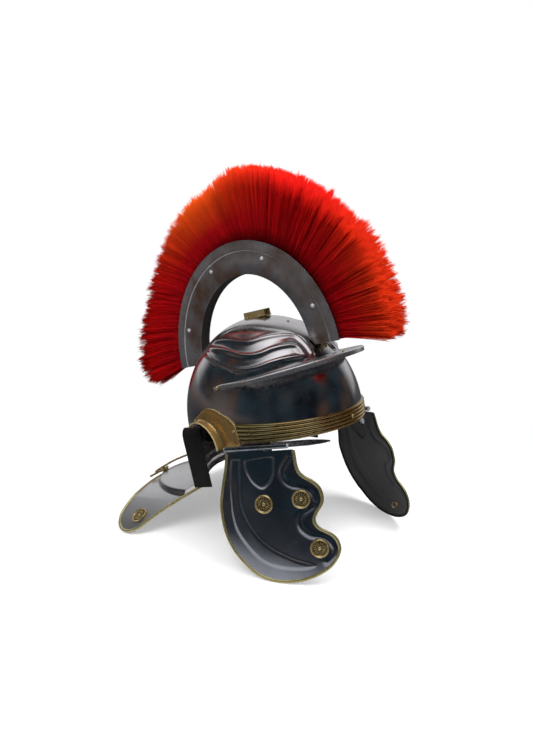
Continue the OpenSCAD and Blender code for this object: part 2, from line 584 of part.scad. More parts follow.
cheek_path = [for (p = edge_tw) cheek_at(p)];

// Hinge: the cheek guard carries the middle knuckle, the leaf the outer two
knuckles = [0.45*hinge_len, 0.8*hinge_len];
knuckle_gap = 0.4;
bore_r = pin_r + pin_gap;
module on_hinge(t) translate(hinge_pt(t)) rotate([hinge_rise - 90, 0, -toe]) children();
module knuckle(from, to) on_hinge(from) difference() {
    cylinder(h = to - from, r = knuckle_r);
    translate([0, 0, -1]) cylinder(h = to - from + 2, r = bore_r);
}
module cheek_guard() {
    cheek_sheet();
    sheet([for (w = [2.2, 9]) [for (t = [knuckles[0] + 0.2, mix(knuckles[0], knuckles[1], 0.5),
                                         knuckles[1] - 0.2]) cheek_pt(t, w)]], 1.5*sheet_t);
    knuckle(knuckles[0], knuckles[1]);
}
module cheek_guard_left() color([0.16, 0.18, 0.24]) standing() cheek_guard();
module cheek_guard_right() color([0.16, 0.18, 0.24]) standing() mirror([1, 0, 0]) cheek_guard();
module cheek_edging() tube(cheek_path, [for (p = cheek_path) edge_r], 6, [1, 0, 0]);
module cheek_edging_left() color([0.7, 0.58, 0.22]) standing() cheek_edging();
module cheek_edging_right() color([0.7, 0.58, 0.22]) standing() mirror([1, 0, 0]) cheek_edging();
rosette_marks = [[35.5, 64.3], [-6.5, 60.8], [-17.4, 117]];
function cheek_out(m) = unit(cross(cheek_at(m + [0, 2]) - cheek_at(m - [0, 2]),
                                   cheek_at(m + [2, 0]) - cheek_at(m - [2, 0])));
module cheek_rosettes() for (m = rosette_marks)
    at(cheek_at(m) + 0.5*sheet_t*cheek_out(m), cheek_out(m)) rosette();
module cheek_rosettes_left() color([0.8, 0.62, 0.22]) standing() cheek_rosettes();
module cheek_rosettes_right() color([0.8, 0.62, 0.22]) standing() mirror([1, 0, 0]) cheek_rosettes();
loop_mark = [-6, 131.5];
loop_r = 3.6;
loop_wire = 0.9;
module tie_loop() let (n = cheek_out(loop_mark))
    at(cheek_at(loop_mark) - (loop_r + loop_wire - 0.5)*n, -n) rotate([90, 0, 0])
        rotate_extrude() translate([loop_r, 0]) circle(r = loop_wire);
module tie_loop_left() color([0.75, 0.6, 0.25]) standing() tie_loop();
module tie_loop_right() color([0.75, 0.6, 0.25]) standing() mirror([1, 0, 0]) tie_loop();

// Fixed leaf: a web below the rim and a tab inside the bowl
leaf_t = 1.2;
tab_from = azimuth_at(25 - hinge_front);
tab_to = azimuth_at(52 - hinge_front);
tab_share = bowl_share(3) - (sheet_t + 0.1)/bowl_a;
function tab_xy(phi, inset) = [(bowl_a*tab_share - inset)*sin(phi),
                               bowl_back - (bowl_b*tab_share - inset)*cos(phi)];
tab_rivet_z = 13;
tab_top = tab_rivet_z + 7;
// Level of the web's middle, which rises with the hinge
function web_z(p) = hinge_z + 0.3 - knuckle_r + 0.5*leaf_t
    + ((p.x - hinge_x)*sin(toe) + (p.y + hinge_front)*cos(toe))*tan(hinge_rise);
function on_web(p) = [p.x, p.y, web_z(p)];
module hinge_leaf() {
    tab_line = [for (k = [0:4]) tab_xy(mix(tab_from, tab_to, k/4), 0.5*leaf_t)];
    knuckle(0, knuckles[0] - knuckle_gap);
    knuckle(knuckles[1] + knuckle_gap, hinge_len);
    difference() {
        sheet([[for (k = [0:4]) on_web(hinge_pt(mix(1, hinge_len - 1, k/4)))],
               [for (p = tab_line) on_web(p)]], leaf_t);
        on_hinge(knuckles[0] - knuckle_gap)
            cylinder(h = knuckles[1] - knuckles[0] + 2*knuckle_gap, r = knuckle_r + 2.2);
        on_hinge(-1) cylinder(h = hinge_len + 2, r = bore_r + 0.2);
    }
    sheet([[for (p = tab_line) on_web(p) - [0, 0, 0.9]],
           [for (p = tab_line) [p.x, p.y, tab_top]]], leaf_t);
    for (f = [0.2, 0.8]) let (a = mix(tab_from, tab_to, f), p = tab_xy(a, leaf_t + 0.8),
                              q = bowl_pt(a, tab_rivet_z) - 0.5*sheet_t*bowl_out(a, tab_rivet_z))
        at([p.x, p.y, tab_rivet_z], [q.x - p.x, q.y - p.y, 0])
            cylinder(h = norm([q.x - p.x, q.y - p.y]), r = 1.8);
}
module hinge_leaf_left() color([0.6, 0.61, 0.64]) standing() hinge_leaf();
module hinge_leaf_right() color([0.6, 0.61, 0.64]) standing() mirror([1, 0, 0]) hinge_leaf();
head_h = 1;
module hinge_pin() {
    on_hinge(-head_h) cylinder(h = hinge_len + 2*head_h, r = pin_r);
    on_hinge(-head_h - 0.1) cylinder(h = head_h, r = pin_r + 0.9);
    on_hinge(hinge_len + 0.1) cylinder(h = head_h, r = pin_r + 0.9);
}
module hinge_pin_left() color([0.7, 0.7, 0.72]) standing() hinge_pin();
module hinge_pin_right() color([0.7, 0.7, 0.72]) standing() mirror([1, 0, 0]) hinge_pin();

// Pointed tongue that runs in below the rim from the fixed leaf
tongue_l = 57;
tongue_w = 13;
tongue_t = 2;
tongue_at = [hinge_x - 12, 18 - hinge_front];
module leaf_tongue() translate([tongue_at.x, tongue_at.y, web_z(tongue_at) - 0.5*leaf_t - 0.3])
    rotate([0, 0, -135]) rotate([0, 9, 0]) rotate([-15, 0, 0]) difference() {
        linear_extrude(tongue_t) polygon([[-12, -tongue_w/2], [0.55*tongue_l, -tongue_w/2],
            [0.85*tongue_l, -tongue_w/4], [tongue_l, 0], [0.85*tongue_l, tongue_w/4],
            [0.55*tongue_l, tongue_w/2], [-12, tongue_w/2]]);
        translate([0.45*tongue_l, 0, -1]) cylinder(h = tongue_t + 2, r = 2.2);
    }
module leaf_tongue_left() color([0.4, 0.42, 0.42]) standing() leaf_tongue();
module leaf_tongue_right() color([0.4, 0.42, 0.42]) standing() mirror([1, 0, 0]) leaf_tongue();

// Carrying handle and its staples

pivot_x = 46;
pivot_y = neck_rear - 12;
pivot_z = neck_z(pivot_x, pivot_y) + plateau_h + wire_r + 0.6;
staple_r = wire_r + 0.6 + 1.1;
module handle_staples() color([0.75, 0.6, 0.25]) standing() for (s = [-1, 1])
    translate([s*pivot_x, pivot_y, pivot_z]) {
        rotate([90, 0, 90]) rotate_extrude(angle = 180) translate([staple_r, 0]) circle(r = 1.1);
        for (t = [-1, 1]) translate([0, t*staple_r, -4]) cylinder(h = 4, r = 1.1);
    }
handle_half = handle_w/2;
handle_marks = [[0, pivot_y + 9, pivot_z + 5.5], [20, pivot_y + 9, pivot_z + 5],
                [42, pivot_y + 8.5, pivot_z + 2.6], [handle_half, pivot_y + 7, pivot_z + 0.6],
                [handle_half + 0.6, pivot_y + 3, pivot_z], [handle_half - 3, pivot_y, pivot_z],
                [pivot_x - 2.4, pivot_y, pivot_z], [pivot_x - 6.5, pivot_y + 0.8, pivot_z + 1.3],
                [pivot_x - 8, pivot_y + 3.4, pivot_z + 1.6], [pivot_x - 5, pivot_y + 6.4, pivot_z],
                [pivot_x + 18, pivot_y + 12.5, pivot_z - 4.2]];
handle_side = spline(handle_marks, 2);
handle_path = concat([for (k = [len(handle_side) - 1:-1:1]) mirror_x(handle_side[k])], handle_side);
module carry_handle() color([0.72, 0.55, 0.28]) standing()
    tube(handle_path, [for (p = handle_path) wire_r], 8, [0, 0, 1]);

// Leather

liner_low = 42;
liner_share = bowl_share(liner_low + liner_h) - (sheet_t + 2.6)/bowl_a;
module liner_oval(inset) polygon([for (k = [0:47])
    [(bowl_a*liner_share - inset)*cos(7.5*k), bowl_back + (bowl_b*liner_share - inset)*sin(7.5*k)]]);
module liner_band() color([0.25, 0.15, 0.1]) standing() translate([0, 0, liner_low])
    linear_extrude(liner_h) difference() {
        liner_oval(0);
        liner_oval(leather_t);
    }
module liner_rivets() color([0.6, 0.6, 0.62]) standing() for (k = [0:5]) {
    a = 30 + 60*k;
    z = liner_low + liner_h - 6;
    p = bowl_pt(a, z) - 0.5*sheet_t*bowl_out(a, z);
    w = bowl_a*liner_share - leather_t - 1;
    l = bowl_b*liner_share - leather_t - 1;
    q = [w*sin(a), bowl_back - l*cos(a), z];
    at(q, [p.x - q.x, p.y - q.y, 0]) {
        cylinder(h = norm([p.x - q.x, p.y - q.y]), r = 1.4);
        cylinder(h = 0.9, r = 3);
    }
}
// From the hanging end over the fold and in through the ear opening, from the bowl's side and the ear
strap_marks = [[10.2, 9, -49], [12.7, 6.5, -27], [15.7, 3.5, -2], [17.2, 2, 15], [16, 1.3, 22],
               [13, 1, 24.4], [9.8, 1, 22], [8.2, 1.5, 15], [5.7, 2, 6], [-1.8, 2, 3.5], [-8.8, 2, 7],
               [-14.3, 2, 17], [-17.6, 2, 29], [-18.4, 2, 47]];
strap_path = [for (p = spline(strap_marks, 2)) p + [bowl_a, ear_y, ear_z]];
// The hanging end is turned outwards at the back, the end inside the bowl is not
strap_turn = 15;
function strap_side(k) = let (a = strap_turn*(1 - ease((k - 10)/7))) strap_w*[sin(a), cos(a), 0];
module chin_strap() sheet([for (k = [0:len(strap_path) - 1])
    [for (s = [-0.5, 0.5]) strap_path[k] + s*strap_side(k)]], leather_t);
module chin_strap_left() color([0.06, 0.05, 0.05]) standing() chin_strap();
module chin_strap_right() color([0.06, 0.05, 0.05]) standing() mirror([1, 0, 0]) chin_strap();

// The helmet leans back until cheek guards and neck lobes stand on one level

function level(p, a) = p.z*cos(a) - p.y*sin(a);
function lowest(pts, a) = min([for (p = pts) level(p, a)]);
function find_lean(a, b, n) = let (m = (a + b)/2)
    n == 0 ? m : lowest(neck_path, m) > lowest(cheek_path, m) ? find_lean(m, b, n - 1)
    : find_lean(a, m, n - 1);
lean = find_lean(5, 28, 24);
stand_z = edge_r - lowest(cheek_path, lean);
hair_tips = [for (b = [0:bunches - 1], c = [0:hair_cols - 1], r = [0:hair_rows - 1]) tip_pt(b, c, r)];
reach = [for (p = hair_tips) p.y*cos(lean) + p.z*sin(lean)];
stand_y = -(min(reach) + max(reach))/2;
module standing() translate([0, stand_y, stand_z]) rotate([-lean, 0, 0]) children();

skull_bowl();
neck_guard();
neck_edging();
neck_rosettes();
brow_band();
brow_band_rivet();
brow_guard();
brow_guard_rivets();
ear_guard_right();
ear_guard_left();
ear_rivets_right();
ear_rivets_left();
crown_holder();
crown_rivets();
crest_hook_front();
crest_hook_rear();
hinge_leaf_right();
hinge_leaf_left();
hinge_pin_right();
hinge_pin_left();
leaf_tongue_right();
leaf_tongue_left();
handle_staples();
carry_handle();
liner_band();
liner_rivets();
chin_strap_right();
chin_strap_left();
cheek_guard_right();
cheek_guard_left();
cheek_edging_right();
cheek_edging_left();
cheek_rosettes_right();
cheek_rosettes_left();
tie_loop_right();
tie_loop_left();
crest_plate_right();
crest_plate_left();
crest_core();
crest_screws_right();
crest_screws_left();
crest_peg_front();
crest_peg_rear();
plume_1();
plume_2();
plume_3();
plume_4();
plume_5();
plume_6();
plume_7();
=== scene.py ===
# %% [markdown]
# # A centurion's helmet
# A steel helmet with brass trim stands on its cheek guards and on the lobes of its neck guard.
# The exact frame fixes where everything sits. This lesson gives each piece its looks: rounder
# and finer shapes for the hammered plates, thousands of hairs for the crest, and worn metals.

# %% Start
import json
import math

import bpy
import numpy as np
from mathutils import Matrix, Vector


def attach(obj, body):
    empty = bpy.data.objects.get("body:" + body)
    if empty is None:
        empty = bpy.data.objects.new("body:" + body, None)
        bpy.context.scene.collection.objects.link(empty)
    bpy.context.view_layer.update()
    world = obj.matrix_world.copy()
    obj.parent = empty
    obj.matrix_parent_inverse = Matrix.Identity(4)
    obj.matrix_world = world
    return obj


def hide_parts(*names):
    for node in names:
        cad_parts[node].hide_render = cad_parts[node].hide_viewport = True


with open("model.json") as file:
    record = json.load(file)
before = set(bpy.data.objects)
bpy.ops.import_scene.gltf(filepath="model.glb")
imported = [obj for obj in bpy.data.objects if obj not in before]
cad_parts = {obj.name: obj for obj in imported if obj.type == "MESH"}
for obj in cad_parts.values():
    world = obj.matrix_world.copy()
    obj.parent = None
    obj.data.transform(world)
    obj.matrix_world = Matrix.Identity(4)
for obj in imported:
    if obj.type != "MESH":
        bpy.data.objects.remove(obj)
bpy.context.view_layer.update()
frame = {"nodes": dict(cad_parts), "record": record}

# %% [markdown]
# The plates are easiest to describe in the helmet's own frame, in millimetres: +X is the
# wearer's left, -Y the face and +Z up, with the brow rim near z = 0. The helmet stands tipped
# back, so a point is turned by that lean and shifted. Both come from the head opening's mount.

# %% Helmet frame
BOWL_BACK = 7.3
mount = frame["record"]["mounts"][0]
lean = math.atan2(-mount["axis"][1], -mount["axis"][2])
C, S = math.cos(lean), math.sin(lean)
TURN = np.array([[1, 0, 0], [0, C, S], [0, -S, C]])
SHIFT = np.array(mount["pos_m"]) * 1000 - TURN @ np.array([0, BOWL_BACK, -2])


def row(p):
    """Helmet millimetres to row metres."""
    return (np.asarray(p, float) @ TURN.T + SHIFT) / 1000


def turned(d):
    """A direction of the helmet frame in the row frame."""
    return np.asarray(d, float) @ TURN.T


def ease(x):
    c = np.clip(x, 0, 1)
    return c * c * (3 - 2 * c)


def mix(a, b, f):
    return a + (b - a) * f


def unit(v):
    return v / np.maximum(np.linalg.norm(v, axis=-1, keepdims=True), 1e-12)


def spline(points, steps):
    """A smooth curve through the points, steps samples to each span."""
    p = np.array(points, float)
    q = np.vstack([p[:1], p, p[-1:]])
    f = np.linspace(0, 1, steps, endpoint=False)[:, None]
    spans = [0.5 * (2 * b + (c - a) * f + (2 * a - 5 * b + 4 * c - d) * f**2
                    + (3 * b - a - 3 * c + d) * f**3) for a, b, c, d in zip(q, q[1:], q[2:], q[3:])]
    return np.vstack([*spans, p[-1:]])


def smooth_table(table, x, width):
    """The table's values at x, with its corners rounded over a width."""
    t = np.array(table, float)
    shifts = np.linspace(-1, 1, 9) * width
    weights = np.exp(-2 * (shifts / width) ** 2)
    values = sum(w * np.interp(x + s, t[:, 0], t[:, 1]) for w, s in zip(weights, shifts))
    return values / weights.sum()


print("lean in degrees", round(math.degrees(lean), 3))

# %% [markdown]
# Three ways of making a solid are used over and over. A loft skins a row of closed rings, a
# plate gives a grid of points an even thickness, and both can be mirrored to the other side.
# Faces have to point outwards, so the signed volume is measured and the faces are turned if
# it is negative.

# %% Mesh helpers
def add_object(name, data):
    """A new object in the scene that holds the data."""
    obj = bpy.data.objects.new(name, data)
    bpy.context.scene.collection.objects.link(obj)
    return obj


def store(mesh, name, values, kind="FLOAT"):
    """Stores a number or a vector on each point, for a material or a tree to read."""
    key = "vector" if kind == "FLOAT_VECTOR" else "value"
    data = mesh.attributes.new(name, kind, "POINT").data
    data.foreach_set(key, np.asarray(values, float).ravel())


def finish_mesh(name, mesh, body, material, node, sharp=35):
    """Shades a mesh, gives it its material, puts it under its body and hides the frame node that it stands
    for.
    """
    mesh.shade_smooth()
    mesh.set_sharp_from_angle(angle=math.radians(sharp))
    mesh.materials.clear()
    mesh.materials.append(material)
    obj = add_object(name, mesh)
    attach(obj, body)
    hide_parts(node)
    print(name, len(mesh.polygons), "faces")
    return obj


def piece(name, points, faces, body, material, node, marks=(), sharp=35):
    """A finished mesh from points and faces. marks are the numbers that its points keep."""
    p = np.asarray(points, float)
    tri = np.array([t for f in faces
                    for t in ([f[:3]] if len(f) == 3 else [f[:3], [f[0], f[2], f[3]]])])
    a, b, c = p[tri[:, 0]], p[tri[:, 1]], p[tri[:, 2]]
    if np.einsum("ij,ij->i", a, np.cross(b, c)).sum() < 0:
        faces = [f[::-1] for f in faces]
    mesh = bpy.data.meshes.new(name)
    mesh.from_pydata(row(p).tolist(), [], [list(map(int, f)) for f in faces])
    for key, values in dict(marks).items():
        store(mesh, key, values)
    return finish_mesh(name, mesh, body, material, node, sharp)


SIDES = {"left": 1, "right": -1}


def on_side(points, side):
    """Points made for the wearer's left, or mirrored to the right."""
    return np.asarray(points) * [SIDES[side], 1, 1]


def pair(name, points, faces, body, material, node, marks=(), sharp=35):
    """The left piece and its mirror image. A name that ends in _ gets the side's name."""
    for side in SIDES:
        names = [n + side if n.endswith("_") else n for n in (name, body, node)]
        piece(names[0], on_side(points, side), faces, names[1], material, names[2], marks, sharp)


def grid_faces(m, n, wrap=False, first=0):
    k, i = np.meshgrid(np.arange(m - 1), np.arange(n if wrap else n - 1), indexing="ij")
    a, b = k * n + i, k * n + (i + 1) % n
    return (np.stack([a, b, b + n, a + n], -1).reshape(-1, 4) + first).tolist()


def loft(rings):
    """Points and faces of a closed skin over rings with equal numbers of points."""
    rings = np.asarray(rings, float)
    m, n, _ = rings.shape
    points = np.vstack([rings.reshape(-1, 3), rings[0].mean(0), rings[-1].mean(0)])
    caps = [[m * n, (i + 1) % n, i] for i in range(n)]
    caps += [[m * n + 1, (m - 1) * n + i, (m - 1) * n + (i + 1) % n] for i in range(n)]
    return points, grid_faces(m, n, True) + caps


def plate(grid, thick, wrap=False):
    """Points and faces of a plate over a grid of points on its middle surface."""
    g = np.asarray(grid, float)
    if wrap:
        across = np.roll(g, -1, 1) - np.roll(g, 1, 1)
    else:
        across = np.gradient(g, axis=1)
    out = unit(np.cross(across, np.gradient(g, axis=0)))
    m, n, _ = g.shape
    points = np.vstack([(g + out * thick / 2).reshape(-1, 3), (g - out * thick / 2).reshape(-1, 3)])
    faces = grid_faces(m, n, wrap) + [f[::-1] for f in grid_faces(m, n, wrap, m * n)]
    i = np.arange(n if wrap else n - 1)
    edges = [(i, (i + 1) % n), ((m - 1) * n + (i + 1) % n, (m - 1) * n + i)]
    if not wrap:
        k = np.arange(m - 1) * n
        edges += [(k + n, k), (k + n - 1, k + 2 * n - 1)]
    for a, b in edges:
        faces += np.stack([b, a, a + m * n, b + m * n], -1).tolist()
    return points, faces


def distance(flat, a, b):
    """Distance of each flat point from the nearest of the lines from a to b."""
    q, ab = flat[:, None], b - a
    s = np.clip(((q - a) * ab).sum(2) / np.maximum((ab**2).sum(1), 1e-9), 0, 1)[..., None]
    return np.linalg.norm(q - a - s * ab, axis=2).min(1)


def raised(xy, outline, height, soft, ahead=0.5):
    """Height at each point of a flat-topped rise: full inside the outline, eased across it."""
    flat = xy.reshape(-1, 2)
    a, b = outline, np.roll(outline, -1, 0)
    step = distance(flat, a, b)
    px, py = flat[:, :1], flat[:, 1:]
    crossing = ((a[:, 1] > py) != (b[:, 1] > py)) & (
        px < (b[:, 0] - a[:, 0]) * (py - a[:, 1]) / (b[:, 1] - a[:, 1] + 1e-9) + a[:, 0])
    inside = crossing.sum(1) % 2 == 1
    return (height * ease(np.where(inside, step, -step) / soft + ahead)).reshape(xy.shape[:-1])


def ridge(t, w, line, width, height):
    """A soft bump about a line drawn through the listed points."""
    line = spline(line, 6)
    away = distance(np.stack([t.ravel(), w.ravel()], -1), line[:-1], line[1:]).reshape(t.shape)
    return height * np.exp(-(away / width) ** 2)


# %% [markdown]
# Shader sums read best as plain sums. This small class wraps a socket, so that an expression
# such as `1 - mask * 0.4` adds the Math nodes by itself. Colours go through Mix nodes instead,
# because a Math node would turn them grey.

# %% Shader helpers
class Value:
    """A socket's value, which can be added, multiplied or taken from a number."""

    def __init__(self, tree, socket):
        self.tree, self.socket = tree, socket

    def math(self, operation, other):
        return self.tree.node("ShaderNodeMath", [self, other], operation=operation)

    def __add__(self, other):
        return self.math("ADD", other)

    def __mul__(self, other):
        return self.math("MULTIPLY", other)

    def __rsub__(self, other):
        return self.tree.node("ShaderNodeMath", [other, self], operation="SUBTRACT")

    def band(self, low, high):
        """0 below low, 1 above high, with a straight rise between them."""
        return self.tree.node("ShaderNodeMapRange", [self, low, high, 0.0, 1.0])


class Tree:
    """A material's node tree, with the few helpers that its recipes need."""

    def __init__(self, name):
        if name in bpy.data.materials:  # the frame's own plain material
            bpy.data.materials[name].name = "frame_" + name
        self.material = bpy.data.materials.new(name)
        self.material.use_nodes = True
        self.nodes = self.material.node_tree.nodes
        self.links = self.material.node_tree.links
        self.shader = self.nodes["Principled BSDF"]

    def plug(self, value, socket):
        if isinstance(value, Value):
            self.links.new(value.socket, socket)
        elif hasattr(socket, "default_value"):
            if isinstance(value, (tuple, list)) and len(value) == 3 and socket.type == "RGBA":
                value = (*value, 1)
            socket.default_value = value

    def node(self, kind, values=(), out=0, **settings):
        """Adds a node: settings first, then the values or links of its sockets."""
        n = self.nodes.new(kind)
        stops = settings.pop("stops", None)
        for key, value in settings.items():
            setattr(n, key, value)
        if stops:
            ramp = n.color_ramp.elements
            while len(ramp) < len(stops):
                ramp.new(0.5)
            for e, (at, colour) in zip(ramp, stops):
                e.position = at
                e.color = (*colour, 1)
        pairs = values.items() if isinstance(values, dict) else enumerate(values)
        for key, value in pairs:
            self.plug(value, n.inputs[key])
        return Value(self, n.outputs[out])

    def place(self, scale=(1, 1, 1), turn=(0, 0, 0)):
        """Object coordinates, turned and stretched."""
        where = self.node("ShaderNodeTexCoord", out=3)
        return self.node("ShaderNodeMapping", {"Vector": where, "Rotation": turn, "Scale": scale})

    def noise(self, scale, detail=3.0, rough=0.5, where=None, distort=0.0):
        return self.node("ShaderNodeTexNoise", {"Vector": where or self.place(), "Scale": scale,
                                                "Detail": detail, "Roughness": rough,
                                                "Distortion": distort})

    def stored(self, name):
        """A number that the mesh keeps at its points."""
        return self.node("ShaderNodeAttribute", out=2, attribute_name=name)

    def dot(self, vector, direction):
        return self.node("ShaderNodeVectorMath", [vector, direction], out=1, operation="DOT_PRODUCT")

    def mix(self, factor, a, b):
        return self.node("ShaderNodeMix", {0: factor, 6: a, 7: b}, out=2, data_type="RGBA")

    def bump(self, height, strength, distance, normal=None):
        values = {"Strength": strength, "Distance": distance, "Height": height}
        if normal is not None:
            values["Normal"] = normal
        return self.node("ShaderNodeBump", values)

    def set(self, **values):
        for key, value in values.items():
            self.plug(value, self.shader.inputs[key.replace("_", " ")])
        print("material", self.material.name, "with", len(self.nodes), "nodes")
        return self.material


# %% [markdown]
# Polished steel is nearly colourless, and what it shows is its surroundings. What makes it
# look real is in the small things: faint brushing from the buffing wheel, finger smudges that
# dull it in patches, a slow change of tint, and a hammered plate's gentle waves. A number
# stored on the mesh marks the edges that get a painted highlight, a near-white with less
# mirror, and another marks the side that was never polished ("inside").

# %% Steel
# The second colour is the near-white of the painted highlights on steel edges.
BRUSHED, HIGHLIGHT_STEEL = (40, 900, 40), (0.9, 0.9, 0.9)


def steel(name, light, dark, rough, wave=0.25, smudge=0.16, grime=None, back=None, dull=0.0):
    """wave is the hammering, grime a colour and its amount, back the colour of the unpolished
    side, and dull how far the surface is from a clean mirror."""
    t = Tree(name)
    cloud = t.noise(14.0, 4.0, 0.6)
    smear = t.noise(34.0, 6.0, 0.7, distort=1.2)
    fine = t.noise(3.0, 2.0, 0.5, t.place(BRUSHED))
    speck = t.noise(900.0, 2.0, 0.5)
    colour = t.mix(cloud.band(0.3, 0.7), dark, light)
    colour = t.mix(fine.band(0.35, 0.75) * 0.25, colour, dark)
    if grime:
        pits = t.noise(18.0, 3.0, 0.55).band(0.45, 0.65)
        colour = t.mix(pits * grime[1], colour, grime[0])
        rough = pits * 0.25 + rough
    rough_now = smear.band(0.48, 0.72) * smudge + rough + fine * 0.06
    # Painted highlight: where a mesh marks an edge, the colour turns near-white and the mirror weaker.
    worn = t.stored("worn")
    colour = t.mix(worn, colour, HIGHLIGHT_STEEL)
    if back:
        inside = t.stored("inside")
        colour = t.mix(inside, colour, back)
        rough_now = inside * 0.25 + rough_now
        # the unpolished side loses its mirror as well
        worn = worn.math("MAXIMUM", inside)
    waves = t.bump(t.noise(9.0, 2.0, 0.4), wave, 0.002)
    normal = t.bump(fine * 0.25 + speck * 0.05, 0.03, 0.0004, waves)
    return t.set(Base_Color=colour, Metallic=1 - dull - worn * 0.6, Roughness=rough_now, Normal=normal)


bowl_steel = steel("bowl_steel", (0.74, 0.72, 0.73), (0.60, 0.59, 0.60), 0.16, smudge=0.14)
neck_steel = steel("neck_steel", (0.76, 0.76, 0.77), (0.64, 0.64, 0.65), 0.26, wave=0.2)
brow_steel = steel("brow_guard_steel", (0.70, 0.69, 0.70), (0.54, 0.53, 0.54), 0.24, wave=0.0,
                   smudge=0.05, dull=0.08)
cheek_steel = steel("cheek_steel", (0.50, 0.52, 0.56), (0.36, 0.38, 0.43), 0.12, smudge=0.10,
                    back=(0.085, 0.085, 0.088))
crest_steel = steel("crest_steel", (0.52, 0.53, 0.56), (0.36, 0.35, 0.36), 0.20, smudge=0.10,
                    wave=0.15, grime=((0.22, 0.11, 0.06), 0.85), dull=0.16)
# Half of this steel's colour is a plain bright diffuse, which paints a highlight on the small parts that use
# it.
bright_steel = steel("bright_steel", (0.90, 0.90, 0.92), (0.74, 0.74, 0.77), 0.18, wave=0.0, dull=0.5)
hinge_steel = steel("hinge_steel", (0.55, 0.57, 0.60), (0.36, 0.38, 0.41), 0.22)
peg_steel = steel("peg_steel", (0.30, 0.30, 0.31), (0.18, 0.18, 0.19), 0.35, wave=0.0)

# %% [markdown]
# Brass is warm and soft. Its bright edges get a painted highlight, a pale yellow with less
# mirror. Its hollows get painted shade in a dark brown, and the half of an edging that faces
# the head gets painted shade in a near-black grey. The meshes store how deep, how far inside
# and how near such an edge each point lies, and two noises add the tarnish that comes by chance.

# %% Brass
# Painted shade for hollows and for the hidden half of an edging, and a painted highlight colour.
HOLLOW_SHADE, UNDERSIDE_SHADE, HIGHLIGHT_BRASS = (0.05, 0.025, 0.01), (0.03, 0.03, 0.028), (0.95, 0.74, 0.36)


def brass(name, bright, deep, tarnish, rough, amber=None, metal=0.85):
    """amber is the colour that heat or lacquer has turned parts of it."""
    t = Tree(name)
    cloud = t.noise(28.0, 4.0, 0.6)
    spots = t.noise(120.0, 5.0, 0.65)
    colour = t.mix(cloud.band(0.3, 0.7), deep, bright)
    if amber:
        patches = t.noise(9.0, 2.0, 0.5).band(0.46, 0.6) * 0.5
        colour = t.mix(patches.math("MAXIMUM", t.stored("flange") * 0.8), colour, amber)
    colour = t.mix(spots.band(0.5, 0.72) * 0.4, colour, tarnish)
    # painted shade in the hollows and on the hidden half of an edging, then painted highlights on bright
    # edges
    colour = t.mix(t.stored("deep"), colour, HOLLOW_SHADE)
    inside, worn = t.stored("inside"), t.stored("worn")
    colour = t.mix(inside, colour, UNDERSIDE_SHADE)
    colour = t.mix(worn, colour, HIGHLIGHT_BRASS)
    rough_now = spots.band(0.45, 0.7) * 0.16 + inside * 0.3 + rough
    normal = t.bump(spots, 0.05, 0.0004)
    return t.set(Base_Color=colour, Metallic=metal - worn * 0.45, Roughness=rough_now, Normal=normal)


ear_brass = brass("ear_brass", (0.98, 0.84, 0.46), (0.80, 0.60, 0.24), (0.40, 0.24, 0.07), 0.18,
                  amber=(0.66, 0.36, 0.10))
band_brass = brass("band_brass", (0.88, 0.74, 0.38), (0.62, 0.48, 0.18), (0.22, 0.16, 0.05), 0.17,
                   amber=(0.86, 0.44, 0.11), metal=0.95)
edging_brass = brass("edging_brass", (0.86, 0.77, 0.42), (0.56, 0.48, 0.20), (0.16, 0.14, 0.05), 0.2)
wire_brass = brass("wire_brass", (0.62, 0.47, 0.24), (0.42, 0.31, 0.15), (0.22, 0.16, 0.09), 0.24)
trim_brass = brass("trim_brass", (0.95, 0.78, 0.42), (0.74, 0.56, 0.24), (0.24, 0.15, 0.06), 0.18)

# %% [markdown]
# Leather has a pebbled grain that cracks where it folds, and an even, waxy sheen. A cell
# pattern gives the pebbles and a stretched noise the creases. The crest's core is wood stained
# black, so its noise is stretched along the grain. Horsehair has hardly any gloss: a colour
# ramp from root to tip, which paints shade at the root and light at the tip, does most of the
# work, and a number stored on each hair varies it.

# %% Leather, dark wood and hair
def leather(name, light, dark, rough, grain):
    t = Tree(name)
    pebble = t.node("ShaderNodeTexVoronoi", {"Vector": t.place(), "Scale": grain}, feature="DISTANCE_TO_EDGE")
    crease = t.noise(5.0, 4.0, 0.6, t.place((60, 60, 420)))
    cloud = t.noise(40.0, 4.0, 0.6)
    colour = t.mix(cloud.band(0.3, 0.7), dark, light)
    colour = t.mix(crease.band(0.55, 0.75) * 0.5, colour, light)
    normal = t.bump(pebble.band(0.0, 0.2) + crease * 0.8, 0.35, 0.0006)
    return t.set(Base_Color=colour, Roughness=cloud * 0.2 + rough, Specular_IOR_Level=0.25, Normal=normal)


strap_leather = leather("strap_leather", (0.012, 0.011, 0.010), (0.003, 0.003, 0.003), 0.36, 700.0)
liner_leather = leather("liner_leather", (0.17, 0.10, 0.055), (0.08, 0.045, 0.025), 0.55, 500.0)


def stained_wood(name):
    t = Tree(name)
    grain = t.noise(8.0, 5.0, 0.6, t.place((900, 60, 60)))
    colour = t.mix(grain.band(0.3, 0.7), (0.008, 0.008, 0.008), (0.035, 0.03, 0.027))
    return t.set(Base_Color=colour, Roughness=grain * 0.3 + 0.45, Normal=t.bump(grain, 0.3, 0.0006))


core_black = stained_wood("crest_core_black")


